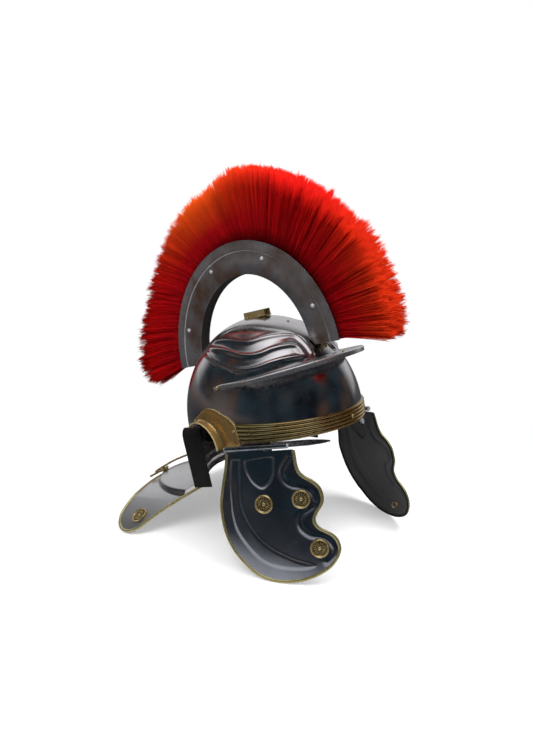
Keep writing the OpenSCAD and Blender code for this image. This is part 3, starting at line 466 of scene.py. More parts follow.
def horsehair(name):
    """Dyed hair: each strand has its own tint, and the ramp paints shade towards the root and light towards
    the tip.
    """
    t = Tree(name)
    along, tint, warm = t.stored("along"), t.stored("tint"), t.stored("warm")
    colour = t.node("ShaderNodeValToRGB", [along], stops=[
        (0.0, (0.40, 0.004, 0.008)), (0.3, (0.55, 0.006, 0.009)), (0.65, (0.76, 0.007, 0.009)),
        (1.0, (0.86, 0.016, 0.010))])
    dull = tint.band(0.25, 1.0) * (0.75 - along * 0.3)
    colour = t.mix(dull, colour, (0.16, 0.002, 0.006))
    colour = t.mix(warm * along.band(0.35, 0.95), colour, (1.0, 0.13, 0.012))
    return t.set(Base_Color=colour, Roughness=tint * 0.15 + 0.6, Specular_IOR_Level=0.03)


hair_red = horsehair("horsehair_red")

# %% [markdown]
# ## The bowl
# The bowl was raised from one disc of steel. Its plan is an oval and its side a dome. The smith
# punched three eyebrow ridges round the front from inside and ribs on the nape. A subdivided
# primitive would blur these, so each point is worked out from its turn round the head and its
# height.

# %% Bowl surface
BOWL_A, BOWL_B, WIDE_H, DOME_H = 103.8, 116.3, 21.0, 123.0
NAPE_KEEP, SHEET = 0.955, 1.2
EAR_Y, EAR_Z, HOOD_R = 36.0, 7.0, 30.0
NAPE_Y = BOWL_BACK + NAPE_KEEP * BOWL_B
NAPE_FROM, NAPE_Z, NECK_HALF, LOBE_DROP = 138.0, -40.0, 150.0, 53.0
FRONT_TURN, FRONT_Z, FRONT_RISE = 75, -5, 9  # the rim rises from its middle to this turn


def bowl_share(z):
    """The oval's size at a height, as a share of its widest; it stays wide at the nape."""
    z = np.asarray(z, float)
    c = np.sqrt(np.maximum(0, 1 - ((z - WIDE_H) / DOME_H) ** 2))
    return np.where(z < WIDE_H, np.maximum(c, NAPE_KEEP), c)


def rad(a):
    return np.radians(a)


def bowl_pt(phi, z):
    """The bowl's surface at a turn from the front and a height."""
    c = bowl_share(z)
    return np.stack([BOWL_A * c * np.sin(rad(phi)), BOWL_BACK - BOWL_B * c * np.cos(rad(phi)),
                     z + 0 * phi], -1)


def bowl_out(phi, z):
    """The direction away from the bowl there."""
    c = bowl_share(z)
    t = np.where((z < WIDE_H) & (c <= NAPE_KEEP), 0, (z - WIDE_H) / DOME_H)
    return unit(np.stack([c * np.sin(rad(phi)) / BOWL_A, -c * np.cos(rad(phi)) / BOWL_B,
                          t / DOME_H + 0 * phi], -1))


def bowl_x(y, z):
    return BOWL_A * np.sqrt(np.maximum(0, bowl_share(z) ** 2 - ((y - BOWL_BACK) / BOWL_B) ** 2))


def neck_z(x, y):
    slope = mix(-0.05, 0.1, np.minimum(np.abs(x) / 100, 1))
    return NAPE_Z - LOBE_DROP * (x / NECK_HALF) ** 2 + slope * (y - NAPE_Y)


def azimuth_at(y):
    return math.degrees(math.acos((BOWL_BACK - y) / (BOWL_B * float(bowl_share(EAR_Z)))))


EAR_FROM, EAR_TO = azimuth_at(EAR_Y - HOOD_R), azimuth_at(EAR_Y + HOOD_R)
nape = bowl_pt(np.array([NAPE_FROM]), np.array([NAPE_Z]))[0, :2]


def rim_z(phi):
    """Height of the bowl's lower edge: front, side, ear arch, side again and nape."""
    p = np.abs(phi)
    e = bowl_pt(p, np.full_like(p, EAR_Z))
    n = bowl_pt(p, np.full_like(p, NAPE_Z))
    front = FRONT_Z + FRONT_RISE * (p / FRONT_TURN) ** 2
    temple = mix(FRONT_Z + FRONT_RISE, EAR_Z, (p - FRONT_TURN) / (EAR_FROM - FRONT_TURN))
    arch = EAR_Z + np.sqrt(np.maximum(0, HOOD_R**2 - (e[..., 1] - EAR_Y) ** 2))
    side = mix(EAR_Z, neck_z(*nape), np.clip((p - EAR_TO) / (NAPE_FROM - EAR_TO), 0, 1) ** 0.75)
    return np.select([p <= FRONT_TURN, p <= EAR_FROM, p <= EAR_TO, p <= NAPE_FROM],
                     [front, temple, arch, side], neck_z(n[..., 0], n[..., 1]))


print("ear arch from", round(EAR_FROM, 1), "to", round(EAR_TO, 1), "degrees round the head")

# %% [markdown]
# The eyebrows stand on a raised pad. So that the points lie where the embossing is, their rows
# run along the rim, then between the pad's lower and upper edge, and then up to the crown.

# %% Bowl grid
# Pairs of turn and height: the pad's lower and upper edge
BROW_LOW = [[-10, 88], [0, 86], [10, 88], [15, 81], [23, 83], [39, 80], [57, 77], [68, 80], [81, 90],
            [100, 101], [126, 113], [144, 114], [180, 106]]
BROW_TOP = [[-8, 106], [0, 112], [8, 106], [12, 109], [18, 119], [27, 124], [36, 128], [46, 132], [59, 135],
            [75, 137], [95, 136], [110, 132], [125, 126], [144, 120], [180, 120]]
PHI = np.concatenate([np.linspace(0, EAR_FROM, 100, False),
                      mix(EAR_FROM, EAR_TO, 0.5 - 0.5 * np.cos(np.linspace(0, np.pi, 56, False))),
                      np.linspace(EAR_TO, 180, 61)])
PHI = np.concatenate([PHI, -PHI[-2:0:-1]])
p = np.abs(PHI)
brow_low, brow_top = smooth_table(BROW_LOW, p, 4), smooth_table(BROW_TOP, p, 4)
below = np.linspace(0, 1, 30, False) ** 1.3
within = np.linspace(0, 1, 84, False)
above = np.linspace(0, 1, 34)
crown = rad(89.6)
z_rows = [mix(rim_z(PHI), brow_low, f) for f in below]
z_rows += [mix(brow_low, brow_top, f) for f in within]
z_rows += [WIDE_H + DOME_H * np.sin(mix(np.arcsin((brow_top - WIDE_H) / DOME_H), crown, f)) for f in above]
z_rows = np.array(z_rows)
share = np.array([0.0] * len(below) + list(within) + [1.0] * len(above))[:, None]
print("bowl grid", z_rows.shape)

# %% [markdown]
# Each eyebrow ridge is a soft bump about a line that was measured on the brow. The ribs on the
# nape are waves of the height above the rim. Both are added along the surface's normal, and
# a little less on the inner side.

# %% Embossing and bowl
# Pairs of turn and height along each ridge
RIDGES = [[(124, 120), (116, 122.6), (97, 123.5), (82, 121), (70, 117.4), (60, 115.3), (50, 116),
           (41, 116.2), (31, 115.3), (22, 113.2), (17, 110), (15, 103.6), (14, 96.7), (14, 89), (14.7, 84)],
          [(113, 118), (105, 116), (90, 113), (78, 108), (69, 103), (61, 100.4), (53, 100), (45, 102),
           (37, 102.7), (28, 101.7), (23.3, 99), (22, 94.4), (21.5, 89), (20, 84.8), (17, 80.7)],
          [(114, 115), (104, 109.7), (95, 103.3), (86, 96.3), (77, 89.8), (69, 86.6), (62, 85.4), (55, 86),
           (48, 87.8), (40, 88.6), (33, 88.2), (26, 87.1), (22, 86.2), (18, 80.5)]]
ON_SHEET = np.array([1.25, 1.35])  # what a degree and a millimetre of height cover on the sheet
PAD_H, RIDGE_W, RIDGE_H = 1.3, 3.4, 1.9
RIB_FROM, RIB_H, RIB_PITCH, RIB_TOP = 128, 1.8, 10.6, 31.8


def eyebrows(p, z, u):
    """Height of the pad and its three ridges at a turn p and height z, u across the pad."""
    ends = ease((p - 9) / 6) * (1 - ease((p - 104) / 22))
    pad = PAD_H * ease(np.minimum(u, 1 - u) / 0.16)
    lines = [ridge(ON_SHEET[0] * p, ON_SHEET[1] * z, ON_SHEET * line, RIDGE_W, RIDGE_H) for line in RIDGES]
    return ends * (pad + np.max(lines, 0))


def nape_ribs(p, h):
    """Height of the ribs at a turn p, h above the rim."""
    wave = 0.5 - 0.5 * np.cos(2 * np.pi * h / RIB_PITCH)
    return np.where((p < RIB_FROM) | (h > RIB_TOP), 0, RIB_H * ease((p - RIB_FROM) / 14) * wave)


p_rows, u_rows, phi_rows = p + 0 * z_rows, share + 0 * z_rows, PHI + 0 * z_rows
rise = np.where((u_rows > 0) & (u_rows < 1), eyebrows(p_rows, z_rows, u_rows), 0)
rise = (rise + nape_ribs(p, z_rows - rim_z(PHI)))[..., None]
facing, middle = bowl_out(phi_rows, z_rows), bowl_pt(phi_rows, z_rows)
inner = middle - SHEET * facing + 0.85 * rise * facing  # softer on the inner side
piece("bowl", *loft(np.concatenate([inner[::-1], middle + rise * facing])), "helmet", bowl_steel,
      "skull_bowl")

# %% [markdown]
# ## The brow guard
# This peak turned blows away from the face. It is a band of sheet with its rim bent down, which
# makes it stiff. A section is swept round the front and runs into the bowl at both ends.

# %% Brow guard
GUARD_LEVEL, GUARD_OUT, GUARD_SIDE, GUARD_RIM, GUARD_MID = 73.0, 28.0, 17.0, 6.0, 19.0
GUARD_TURN, GUARD_BLEND = 66, 22  # where the edge starts to run into the bowl, and how slowly
GUARD_DROP, GUARD_BOW, ROUND = 4.8, 7.4, 1.6
guard_y = BOWL_B * float(bowl_share(GUARD_LEVEL + 2)) + GUARD_OUT


def guard_edge(phi, z):
    """The peak's outer edge, which runs into the bowl at both ends."""
    e = np.stack([(BOWL_A * bowl_share(GUARD_LEVEL) + GUARD_SIDE) * np.sin(rad(phi)),
                  BOWL_BACK - GUARD_MID - (guard_y - GUARD_MID) * np.cos(rad(phi)), z + 0 * phi], -1)
    b = bowl_pt(phi, z) + (SHEET + 0.4) * bowl_out(phi, z)
    return mix(e, b, ease((np.abs(phi) - GUARD_TURN) / GUARD_BLEND)[..., None])


phi = np.linspace(-91, 91, 241)
low = GUARD_LEVEL - GUARD_DROP + GUARD_BOW * np.cos(rad(phi))
high = low + GUARD_RIM * (1 - 0.3 * ease((np.abs(phi) - 86) / 5))
edge_top, edge_low = guard_edge(phi, high), guard_edge(phi, low)
edge_low[:, :2] = edge_top[:, :2]
out = unit(np.stack([edge_top[:, 0], edge_top[:, 1] - BOWL_BACK, 0 * phi], -1))
root = bowl_pt(phi, high) - 0.3 * SHEET * bowl_out(phi, high)
down = np.array([0, 0, -1.0])
outside = [root] + [mix(root, edge_top - ROUND * out, f) for f in (0.5, 1)]
outside += [edge_top - ROUND * out * (1 - math.sin(a)) + ROUND * down * (1 - math.cos(a))
            for a in rad(np.array([22, 45, 68, 90]))]
outside += [edge_low]
inside = [edge_low - SHEET * out, edge_top - SHEET * out + ROUND * down,
          edge_top - (ROUND + 0.4) * out + SHEET * down,
          mix(root, edge_top - ROUND * out, 0.5) + SHEET * down, root + SHEET * down]
# a painted highlight along the peak's rounded rim
highlight_lines = [0.25 if 3 <= k <= 5 else 0.0 for k in range(len(outside + inside))]
piece("brow_peak", *loft(np.stack(outside + inside, 1)), "helmet", brow_steel, "brow_guard",
      {"worn": highlight_lines * len(phi) + [0, 0]})

# %% [markdown]
# ## The brow band
# The ribbed brass strip was rolled flat and then wrapped round the brow. Its ribs catch the
# light as fine lines, so the section has real half-round ribs, and painted shade darkens the grooves.

# %% Brow band
RIBS, BAND_H = 5, 20.0
reach = 12 * EAR_FROM / 14
phi = np.linspace(-reach, reach, 261)
height = BAND_H + 4 * (phi / FRONT_TURN) ** 2
f = np.linspace(0, 1, RIBS * 12 + 1)
wave = np.abs(np.sin(np.pi * RIBS * f))
rib, groove = 0.9 + 1.7 * wave**0.7, (1 - wave) ** 0.9
# deep marks each groove, where the brass paints shade
ring, deep = [], []
for share_up, out_by, low_by in [*zip(f[::-1], rib[::-1], groove[::-1]), (0, 0, 0), (0.5, 0, 0), (1, 0, 0)]:
    deep.append(0.9 * low_by + 0 * phi)
    z = rim_z(phi) + share_up * height
    ring.append(bowl_pt(phi, z) + (0.2 + out_by) * bowl_out(phi, z))
middle = np.repeat(np.exp(-((phi + 4) / 24) ** 2), len(deep))  # amber about the front
piece("ribbed_band", *loft(np.stack(ring, 1)), "helmet", band_brass, "brow_band",
      {"deep": np.append(np.stack(deep, 1), [0, 0]), "flange": np.append(middle, [0, 0])})

# %% [markdown]
# ## The neck guard
# A wide plate keeps blows off the shoulders. Its middle is pressed up as a flat D and its lobes
# droop. The plate is a grid from the nape to the rolled edge, and the D is a rise added where a
# point lies inside its outline, eased over a few millimetres as sheet metal bends.

# %% Neck guard
NECK_REAR, LOBE_R, LOBE_TURN, EDGE_R, PLATEAU_H, PLATEAU_HALF = 199.0, 29.0, 142, 2.0, 6.0, 40.0
REAR_Y, PLATEAU_REAR = NECK_REAR - EDGE_R, NECK_REAR - 8
LOBE = np.array([NECK_HALF - EDGE_R - LOBE_R, REAR_Y - LOBE_R])


def nape_xy(phi):
    c = NAPE_KEEP - 0.5 * SHEET / BOWL_A
    return np.stack([BOWL_A * c * np.sin(rad(phi)), BOWL_BACK - BOWL_B * c * np.cos(rad(phi))], -1)


def along(points, count):
    """The polyline's points spread evenly over its length."""
    p = np.asarray(points, float)
    d = np.concatenate([[0], np.cumsum(np.linalg.norm(np.diff(p, axis=0), axis=1))])
    s = np.linspace(0, d[-1], count)
    return np.stack([np.interp(s, d, p[:, k]) for k in range(p.shape[1])], -1)


def both(half):
    """A line from one side's end over the middle to the other's."""
    return np.vstack([half[:0:-1] * [-1, 1, 1][:half.shape[1]], half])


COLS = 130
arc = rad(90 - np.linspace(0, LOBE_TURN, 40))
lobe = LOBE + LOBE_R * np.stack([np.cos(arc), np.sin(arc)], -1)
front_end = lobe[-1]
side = mix(nape, front_end, np.linspace(0.03, 0.92, 30)[:, None])
neck_in = both(along(np.vstack([nape_xy(np.linspace(180, NAPE_FROM, 30)), side]), COLS))
neck_out = both(along(np.vstack([[[0, REAR_Y]], lobe]), COLS))
corner = mix(nape, front_end, 0.37)
arc = rad(90 - np.linspace(0, 90, 40))
d_edge = np.stack([mix(PLATEAU_HALF, corner[0] - 1, np.cos(arc)),
                   mix(corner[1] + 3, PLATEAU_REAR, np.sin(arc))], -1)
d_edge = both(along(np.vstack([[[0, PLATEAU_REAR]], d_edge]), 120))
d_outline = np.vstack([d_edge, d_edge[-1:] * [1, 0.4], d_edge[:1] * [1, 0.4]])  # closed under the bowl
share = np.linspace(0, 1, 70)[:, None, None]
xy = mix(neck_in[None], neck_out[None], share)
surface = np.dstack([xy, neck_z(xy[..., 0], xy[..., 1]) + raised(xy, d_outline, PLATEAU_H, 4, 0.15)])
piece("neck_plate", *plate(surface, SHEET), "helmet", neck_steel, "neck_guard")

# %% [markdown]
# ## The ear guards
# Each is one brass plate: a flange that lies on the bowl and a hood that stands off over the
# ear. The section turns from one to the other in a tight bend, and its rim flares a little.

# %% Ear guards
HOOD_OUT, SEAT = 13.0, 0.8
# Pairs of turn round the ear and reach of the flange, then the section: share, growth, distance off
HOOD = [[-12, 52], [0, 54.5], [10, 55.3], [20, 57], [32, 54.5], [45, 50], [60, 48], [75, 44.5], [87, 39],
        [100, 35], [130, 33.5], [195, 33.5]]
angle = np.linspace(-12, 195, 140)
section = spline([[1, 3, 0.6], [0.96, 3, 0.5], [0.85, 3, 0], [0.6, 3, 0], [0.2, 3, 0], [0.02, 2.6, 0.3],
                  [0, 0.8, 1.4], [0, -0.4, 4], [0, -0.6, 8], [0, -0.6, 12], [0, -0.3, 18]], 4)


def hood_point(a, r, off):
    y, z = EAR_Y - r * np.cos(rad(a)), EAR_Z + r * np.sin(rad(a))
    return np.stack([bowl_x(y, z) + SEAT + off, y, z], -1)


flange = smooth_table(HOOD, angle, 4)
hood = np.array([hood_point(angle, mix(HOOD_R + grow, flange, share), off * HOOD_OUT / 19)
                 for share, grow, off in section])
line_at = np.array([np.arange(len(section))[:, None] + 0 * angle] * 2)  # for both faces of the sheet
# The bend from flange to hood gets painted shade, and the flange's edge and the hood's rim get a painted
# highlight.
pair("ear_hood_", *plate(hood, SHEET), "helmet", ear_brass, "ear_guard_",
     {"deep": 0.5 * np.exp(-((line_at - 21) / 4) ** 2),
      "flange": 1 - ease((line_at - 18) / 4),
      "worn": np.maximum(1 - ease(line_at / 3), ease((line_at - len(section) + 3) / 2))})

# %% [markdown]
# ## The cheek guards
# They hang from hinges and were embossed to stiffen them: a raised channel that follows the
# outline, a shield at the top and two scoops at the front. Numbers follow a measured outline
# more closely than sculpting does, so a point is given by its distance along the hinge and its
# distance below it, and the plate is a grid between its front and rear edge.

# %% Cheek guard surface
HINGE_X, HINGE_FRONT, HINGE_Z, TOE, HINGE_RISE, SPLAY = 88.0, 76.0, -5.0, 20.0, 5.0, 11.5
HINGE_LEN, KNUCKLE_R, BORE_R = 76.0, 3.0, 1.45
CT, ST, CW, SW = math.cos(rad(TOE)), math.sin(rad(TOE)), math.cos(rad(SPLAY)), math.sin(rad(SPLAY))
CR, SR = math.cos(rad(HINGE_RISE)), math.sin(rad(HINGE_RISE))
KNUCKLES = (0.45 * HINGE_LEN, 0.8 * HINGE_LEN)
hinge_start = np.array([HINGE_X, -HINGE_FRONT, HINGE_Z])
hinge_along = np.array([ST * CR, CT * CR, SR])


def cheek_pt(t, w):
    """The plate's dished middle surface, t along the hinge and w below it."""
    u, v = (t - 37) / 60, w / 150
    d = 6.4 * u * u * np.minimum(2.5 * v, 1) + 10.9 * v * v - 3.8 * u * v
    off = np.stack([w * SW - d * CW, 0 * d, -w * CW - d * SW], -1)
    return hinge_start + np.asarray(t)[..., None] * hinge_along + off


FRONT = [[-5.9, 4.4], [-6.5, 10.7], [-6.7, 22.6], [-8.9, 30.8], [-13.8, 36.4], [-21, 41.4], [-25.9, 47],
         [-27.9, 52.2], [-28.2, 59.9], [-27, 66], [-24, 71.3], [-19.4, 77.6], [-16.7, 83.5], [-17, 89.3],
         [-20.9, 95], [-27.4, 99.4], [-32.2, 103.1], [-35.3, 107.7], [-36.8, 113.7], [-36.7, 119.7],
         [-34, 126.3], [-28.6, 133.9], [-22.2, 139.8], [-13.2, 145.2], [-2.3, 149.6], [8.4, 152.2],
         [19.2, 153.2]]
REAR = [[74.6, 4.4], [75.3, 9.7], [77.6, 21.2], [81.9, 34.6], [86.5, 48.1], [90.5, 61.3], [91.2, 72.5],
        [90.1, 89.8], [86.2, 105], [79.7, 118.2], [70.8, 129.6], [60.3, 140.4], [51.5, 146.3],
        [40.7, 150.8], [29.9, 152.9]]
front_line, rear_line = spline(FRONT, 4), spline(REAR, 6)
w = np.concatenate([np.linspace(4.4, 140, 150, False), 140 + 12.9 * np.sin(np.linspace(0, np.pi / 2, 26))])
t_front = np.interp(w, front_line[:, 1], front_line[:, 0])
t_rear = np.interp(w, rear_line[:, 1], rear_line[:, 0])
t = mix(t_front[:, None], t_rear[:, None], np.linspace(0, 1, 120))
w = w[:, None] + 0 * t
print("cheek guard grid", t.shape)

# %% [markdown]
# The channel and the shield are flat-topped rises inside drawn outlines, and each scoop is a
# soft bump about a drawn line. The plate stays flat where a rosette sits and at the hinge.

# %% Cheek guard embossing
# The channel's two edges, the shield's outline and the scoops, in pairs of t and w
OUTER = [(68.5, 12.5), (71, 22), (73.1, 36.5), (75, 55.7), (75.6, 75.1), (72.7, 92.4), (64.4, 107.9),
         (52.4, 123.5), (39.9, 132.4), (27.3, 136.5), (14.7, 138.7), (0, 139), (-9, 136.5)]
INNER = [(-9, 136.5), (-2.5, 133.5), (10.9, 128.4), (24.4, 121.2), (36.4, 112.8), (48.5, 100.5), (57.4, 85),
         (62.6, 69.6), (63.6, 54.2), (61.9, 36.9), (60.4, 22), (59, 12.5)]
SHIELD = [(52.3, 14.4), (36, 12.6), (19.5, 12.1), (18.7, 20.2), (20.8, 31.3), (26.3, 40.9), (35.1, 46.2),
          (44.3, 40.4), (50, 30.8), (52.6, 22.1)]
SCOOPS = [[(-1, 13.5), (4, 19), (8.5, 25), (10.1, 31), (8.6, 37.7), (3.8, 43.2), (-6.8, 48), (-17.3, 54),
           (-20.5, 62.1)],
          [(-17.5, 69.4), (-11, 72.7), (-4.5, 78), (-1.3, 85.4), (-3, 94.5), (-10.9, 102), (-23.6, 107.5),
           (-31, 115.5), (-30.5, 124.9), (-22.8, 133)]]
CHANNEL_H, CHANNEL_EDGE, SHIELD_H, SHIELD_EDGE, SCOOP_W, SCOOP_H = 1.9, 4.2, 1.6, 4.6, 3.2, 1.3
tw = np.stack([t, w], -1)
channel = np.vstack([spline(OUTER, 4), spline(INNER, 4)[1:]])
shield = spline(SHIELD + SHIELD[:1], 4)[:-1]
relief = raised(tw, channel, CHANNEL_H, CHANNEL_EDGE) + raised(tw, shield, SHIELD_H, SHIELD_EDGE)
for line in SCOOPS:
    relief = relief + ridge(t, w, line, SCOOP_W, SCOOP_H)
ROSETTES = [[35.5, 64.3], [-6.5, 60.8], [-17.4, 117]]
for rt, rw in ROSETTES:  # the plate is flat below the rosettes and at the hinge
    relief = relief * ease((np.hypot(t - rt, w - rw) - 9) / 6)
relief = relief * ease((w - 5) / 6)
steep = np.hypot(np.gradient(relief, axis=0) / np.maximum(np.gradient(w, axis=0), 0.05),
                 np.gradient(relief, axis=1) / np.gradient(t, axis=1))
cheek = cheek_pt(t, w)
cheek_n = unit(np.cross(np.gradient(cheek, axis=1), np.gradient(cheek, axis=0)))
cheek_n = cheek_n * np.sign(cheek_n[..., :1])
points, faces = plate(cheek + relief[..., None] * cheek_n, SHEET)
print("embossing", round(float(relief.max()), 2), "mm high")

# %% [markdown]
# The middle knuckle turns with the guard. It is rolled from a tab of the plate, so the plate,
# the tab and the barrel are one piece. The side towards the head was never polished, and the
# steep edges of the embossing get a painted highlight.

# %% Knuckle and cheek guards
def hinge_at(t, r, a):
    """A point round the hinge line at a distance t along it."""
    across = np.array([CT, -ST, 0.0])
    over = np.cross(across, hinge_along)
    return hinge_start + t * hinge_along + r * (math.cos(a) * across + math.sin(a) * over)


def barrel(start, end):
    """A knuckle: a short tube with chamfered ends."""
    profile = [(start, BORE_R), (start, KNUCKLE_R - 0.3), (start + 0.3, KNUCKLE_R), (end - 0.3, KNUCKLE_R),
               (end, KNUCKLE_R - 0.3), (end, BORE_R)]
    ring = np.array([[hinge_at(t, r, a) for t, r in profile] for a in np.linspace(0, 2 * np.pi, 41)[:-1]])
    m, n, _ = ring.shape
    k, i = np.meshgrid(np.arange(m), np.arange(n), indexing="ij")
    a, b = k * n + i, k * n + (i + 1) % n
    c, d = (k + 1) % m * n + (i + 1) % n, (k + 1) % m * n + i
    return ring.reshape(-1, 3), np.stack([a, b, c, d], -1).reshape(-1, 4).tolist()


def joined(*parts):
    points, faces, first = [], [], 0
    for p, f in parts:
        points.append(p)
        faces += [[k + first for k in face] for face in f]
        first += len(p)
    return np.vstack(points), faces


tab_t, tab_w = np.meshgrid(np.linspace(KNUCKLES[0] + 0.2, KNUCKLES[1] - 0.2, 12), np.linspace(2.2, 9, 6))
tab = plate(cheek_pt(tab_t, tab_w), 1.5 * SHEET)
p, f = joined((points, faces), tab, barrel(*KNUCKLES))
inner, outer = (0, t.size) if points[0, 0] < points[t.size, 0] else (t.size, 0)
inside, highlight_lines = np.zeros(len(p)), np.zeros(len(p))
inside[inner:inner + t.size] = 1
# a painted highlight along the embossing's steep edges
highlight_lines[outer:outer + t.size] = 0.07 * ease((steep.ravel() - 0.2) / 0.3)
pair("cheek_plate_", p, f, "cheek_", cheek_steel, "cheek_guard_", {"inside": inside, "worn": highlight_lines})

# %% [markdown]
# ## Rolled edging and wire
# The brass strip along the plates' edges is rolled over them, and the carrying handle is a bent
# wire. Both are round bars along a path. A Geometry Nodes tree turns a path of points into
# such a bar, with the radius as its input.

# %% Bar tree
def new_tree(name, **inputs):
    """A Geometry Nodes tree with named inputs, what it is given, and its output node."""
    tree = bpy.data.node_groups.new(name, "GeometryNodeTree")
    tree.interface.new_socket("Geometry", in_out="INPUT", socket_type="NodeSocketGeometry")
    for key, (kind, default) in inputs.items():
        s = tree.interface.new_socket(key, in_out="INPUT", socket_type="NodeSocket" + kind)
        if default is not None:
            s.default_value = default
    tree.interface.new_socket("Geometry", in_out="OUTPUT", socket_type="NodeSocketGeometry")
    return tree, tree.nodes.new("NodeGroupInput").outputs, tree.nodes.new("NodeGroupOutput")


def wire(tree, kind, links=(), out=0, **settings):
    """Adds a node to a Geometry Nodes tree and fills its sockets with links or values."""
    n = tree.nodes.new(kind)
    for key, value in settings.items():
        setattr(n, key, value)
    for key, value in dict(links).items():
        if isinstance(value, bpy.types.NodeSocket):
            tree.links.new(value, n.inputs[key])
        else:
            n.inputs[key].default_value = value
    return n.outputs[out]


def run_tree(tree, mesh, **values):
    """The tree's result on a mesh, as a new plain mesh."""
    obj = add_object("work", mesh)
    modifier = obj.modifiers.new("tree", "NODES")
    modifier.node_group = tree
    for item in tree.interface.items_tree:
        if item.in_out == "INPUT" and item.name in values:
            modifier[item.identifier] = values[item.name]
    bpy.context.view_layer.update()
    graph = bpy.context.evaluated_depsgraph_get()
    result = bpy.data.meshes.new_from_object(obj.evaluated_get(graph), depsgraph=graph)
    bpy.data.objects.remove(obj)
    return result


def finish_tree(tree, geometry, given, output):
    """Makes the tree's instances real, gives them the material and sends them out."""
    real = wire(tree, "GeometryNodeRealizeInstances", {"Geometry": geometry})
    painted = wire(tree, "GeometryNodeSetMaterial", {"Geometry": real, "Material": given["Material"]})
    tree.links.new(painted, output.inputs[0])
    print("tree", tree.name, "with", len(tree.nodes), "nodes")


bar_tree, given, bar_out = new_tree("bar", Radius=("Float", 0.002), Sides=("Int", 16),
                                    Material=("Material", None))
path = wire(bar_tree, "GeometryNodeMeshToCurve", {"Mesh": given[0]})
ring = wire(bar_tree, "GeometryNodeCurvePrimitiveCircle", {"Resolution": given["Sides"],
                                                          "Radius": given["Radius"]})
bar = wire(bar_tree, "GeometryNodeCurveToMesh", {"Curve": path, "Profile Curve": ring, "Fill Caps": True})
finish_tree(bar_tree, bar, given, bar_out)


def bar_piece(name, points, radius, body, material, node, sides=16):
    """A round bar along a path."""
    path = bpy.data.meshes.new("path")
    path.from_pydata(row(points).tolist(), [(i, i + 1) for i in range(len(points) - 1)], [])
    mesh = run_tree(bar_tree, path, Radius=radius / 1000, Sides=sides, Material=material)
    return finish_mesh(name, mesh, body, material, node, sharp=60)


# %% [markdown]
# The cheek guard's strip follows the plate's outline, and the half of it towards the head gets
# painted shade in a near-black. The neck guard's strip runs round the rear edge and both
# lobes. The handle's bends are listed for one half, and the other half mirrors them.

# %% Edging
outline = np.vstack([front_line[1:], rear_line[:0:-1]])
cheek_edge = cheek_pt(outline[:, 0], outline[:, 1])
facing_out = unit(np.cross(cheek_pt(outline[:, 0], outline[:, 1] + 1) - cheek_edge,
                           cheek_pt(outline[:, 0] + 1, outline[:, 1]) - cheek_edge))
facing_out *= np.sign(facing_out[:, :1])
# The half of each strip towards the head is marked for painted shade.
for side in SIDES:
    edge = on_side(cheek_edge, side)
    obj = bar_piece("cheek_roll_" + side, edge, EDGE_R, "cheek_" + side, edging_brass, "cheek_edging_" + side)
    at_point = np.array([v.co for v in obj.data.vertices])  # the half towards the head is dark
    middle_line, out = row(edge), turned(on_side(facing_out, side))
    nearest = np.argmin(((at_point[:, None] - middle_line) ** 2).sum(2), 1)
    depth = ((at_point - middle_line[nearest]) * out[nearest]).sum(1) * 1000 / EDGE_R
    store(obj.data, "inside", ease(0.2 - depth * 1.6))
half = np.vstack([[[0, REAR_Y]], lobe, mix(nape, front_end, np.linspace(0.92, 0.08, 12)[:, None])])
neck_edge = both(along(half, 150))
neck_edge = np.column_stack([neck_edge, neck_z(*neck_edge.T)])
bar_piece("neck_roll", neck_edge, EDGE_R, "helmet", edging_brass, "neck_edging")

# %% Carrying handle
PIVOT_X, PIVOT_Y, WIRE_R, HANDLE_HALF = 46.0, NECK_REAR - 12, 1.5, 56.0
pivot = np.array([0, PIVOT_Y, float(neck_z(PIVOT_X, PIVOT_Y)) + PLATEAU_H + WIRE_R + SHEET / 2])
HANDLE = [[0, 9, 5.5], [20, 9, 5], [42, 8.5, 2.6], [HANDLE_HALF, 7, 0.6], [HANDLE_HALF + 0.6, 3, 0],
          [HANDLE_HALF - 3, 0, 0], [PIVOT_X - 2.4, 0, 0], [PIVOT_X - 6.5, 0.8, 1.3], [PIVOT_X - 8, 3.4, 1.6],
          [PIVOT_X - 5, 6.4, 0], [PIVOT_X + 18, 12.5, -4.2]]
bar_piece("handle_wire", both(spline(HANDLE, 8) + pivot), WIRE_R, "handle", wire_brass, "carry_handle",
          sides=12)

# %% [markdown]
# ## The crest box
# Two steel cheeks hold the hair between them. Each is an arch cut from sheet, with its outer
# band pressed out in a step that catches the light, and a painted highlight makes the step a
# thin bright line. The section runs across the arch, and each line of it ends where it meets the level of the
# feet.

# %% Crest plates
ARCH_A, ARCH_B, ARCH_W, ARCH_Y, ARCH_Z, LEAN_C = 133.5, 146.0, 42.0, 12.0, 95.0, 6.0
CREST_T, PLATE_T, GRIP_W, STEP_H, FOOT_Z = 18.0, 1.2, 13.0, 1.0, 96.3
CC, SC = math.cos(rad(LEAN_C)), math.sin(rad(LEAN_C))


def arch_pt(t, inset):
    a, b = (ARCH_A - inset) * np.cos(rad(t)), (ARCH_B - inset) * np.sin(rad(t))
    return np.stack([ARCH_Y + a * CC - b * SC, ARCH_Z + a * SC + b * CC], -1)


def foot_angle(inset, near):
    """Turn at which a line of the arch meets the level of the feet, by halving."""
    low, high = (-14.0, 30.0) if near else (150.0, 192.0)
    for _ in range(40):
        m = (low + high) / 2
        if (arch_pt(m, inset)[1] < FOOT_Z) == near:
            low = m
        else:
            high = m
    return (low + high) / 2


def clear_of_bowl(yz, t, inset):
    """Pulls a point outwards along the arch's radius until it clears the bowl."""
    while inset > 0 and math.hypot((yz[0] - BOWL_BACK) / (BOWL_B + SHEET),
                                   (yz[1] - WIDE_H) / (DOME_H + SHEET)) < 1:
        inset -= 0.25
        yz = arch_pt(t, inset)
    return yz


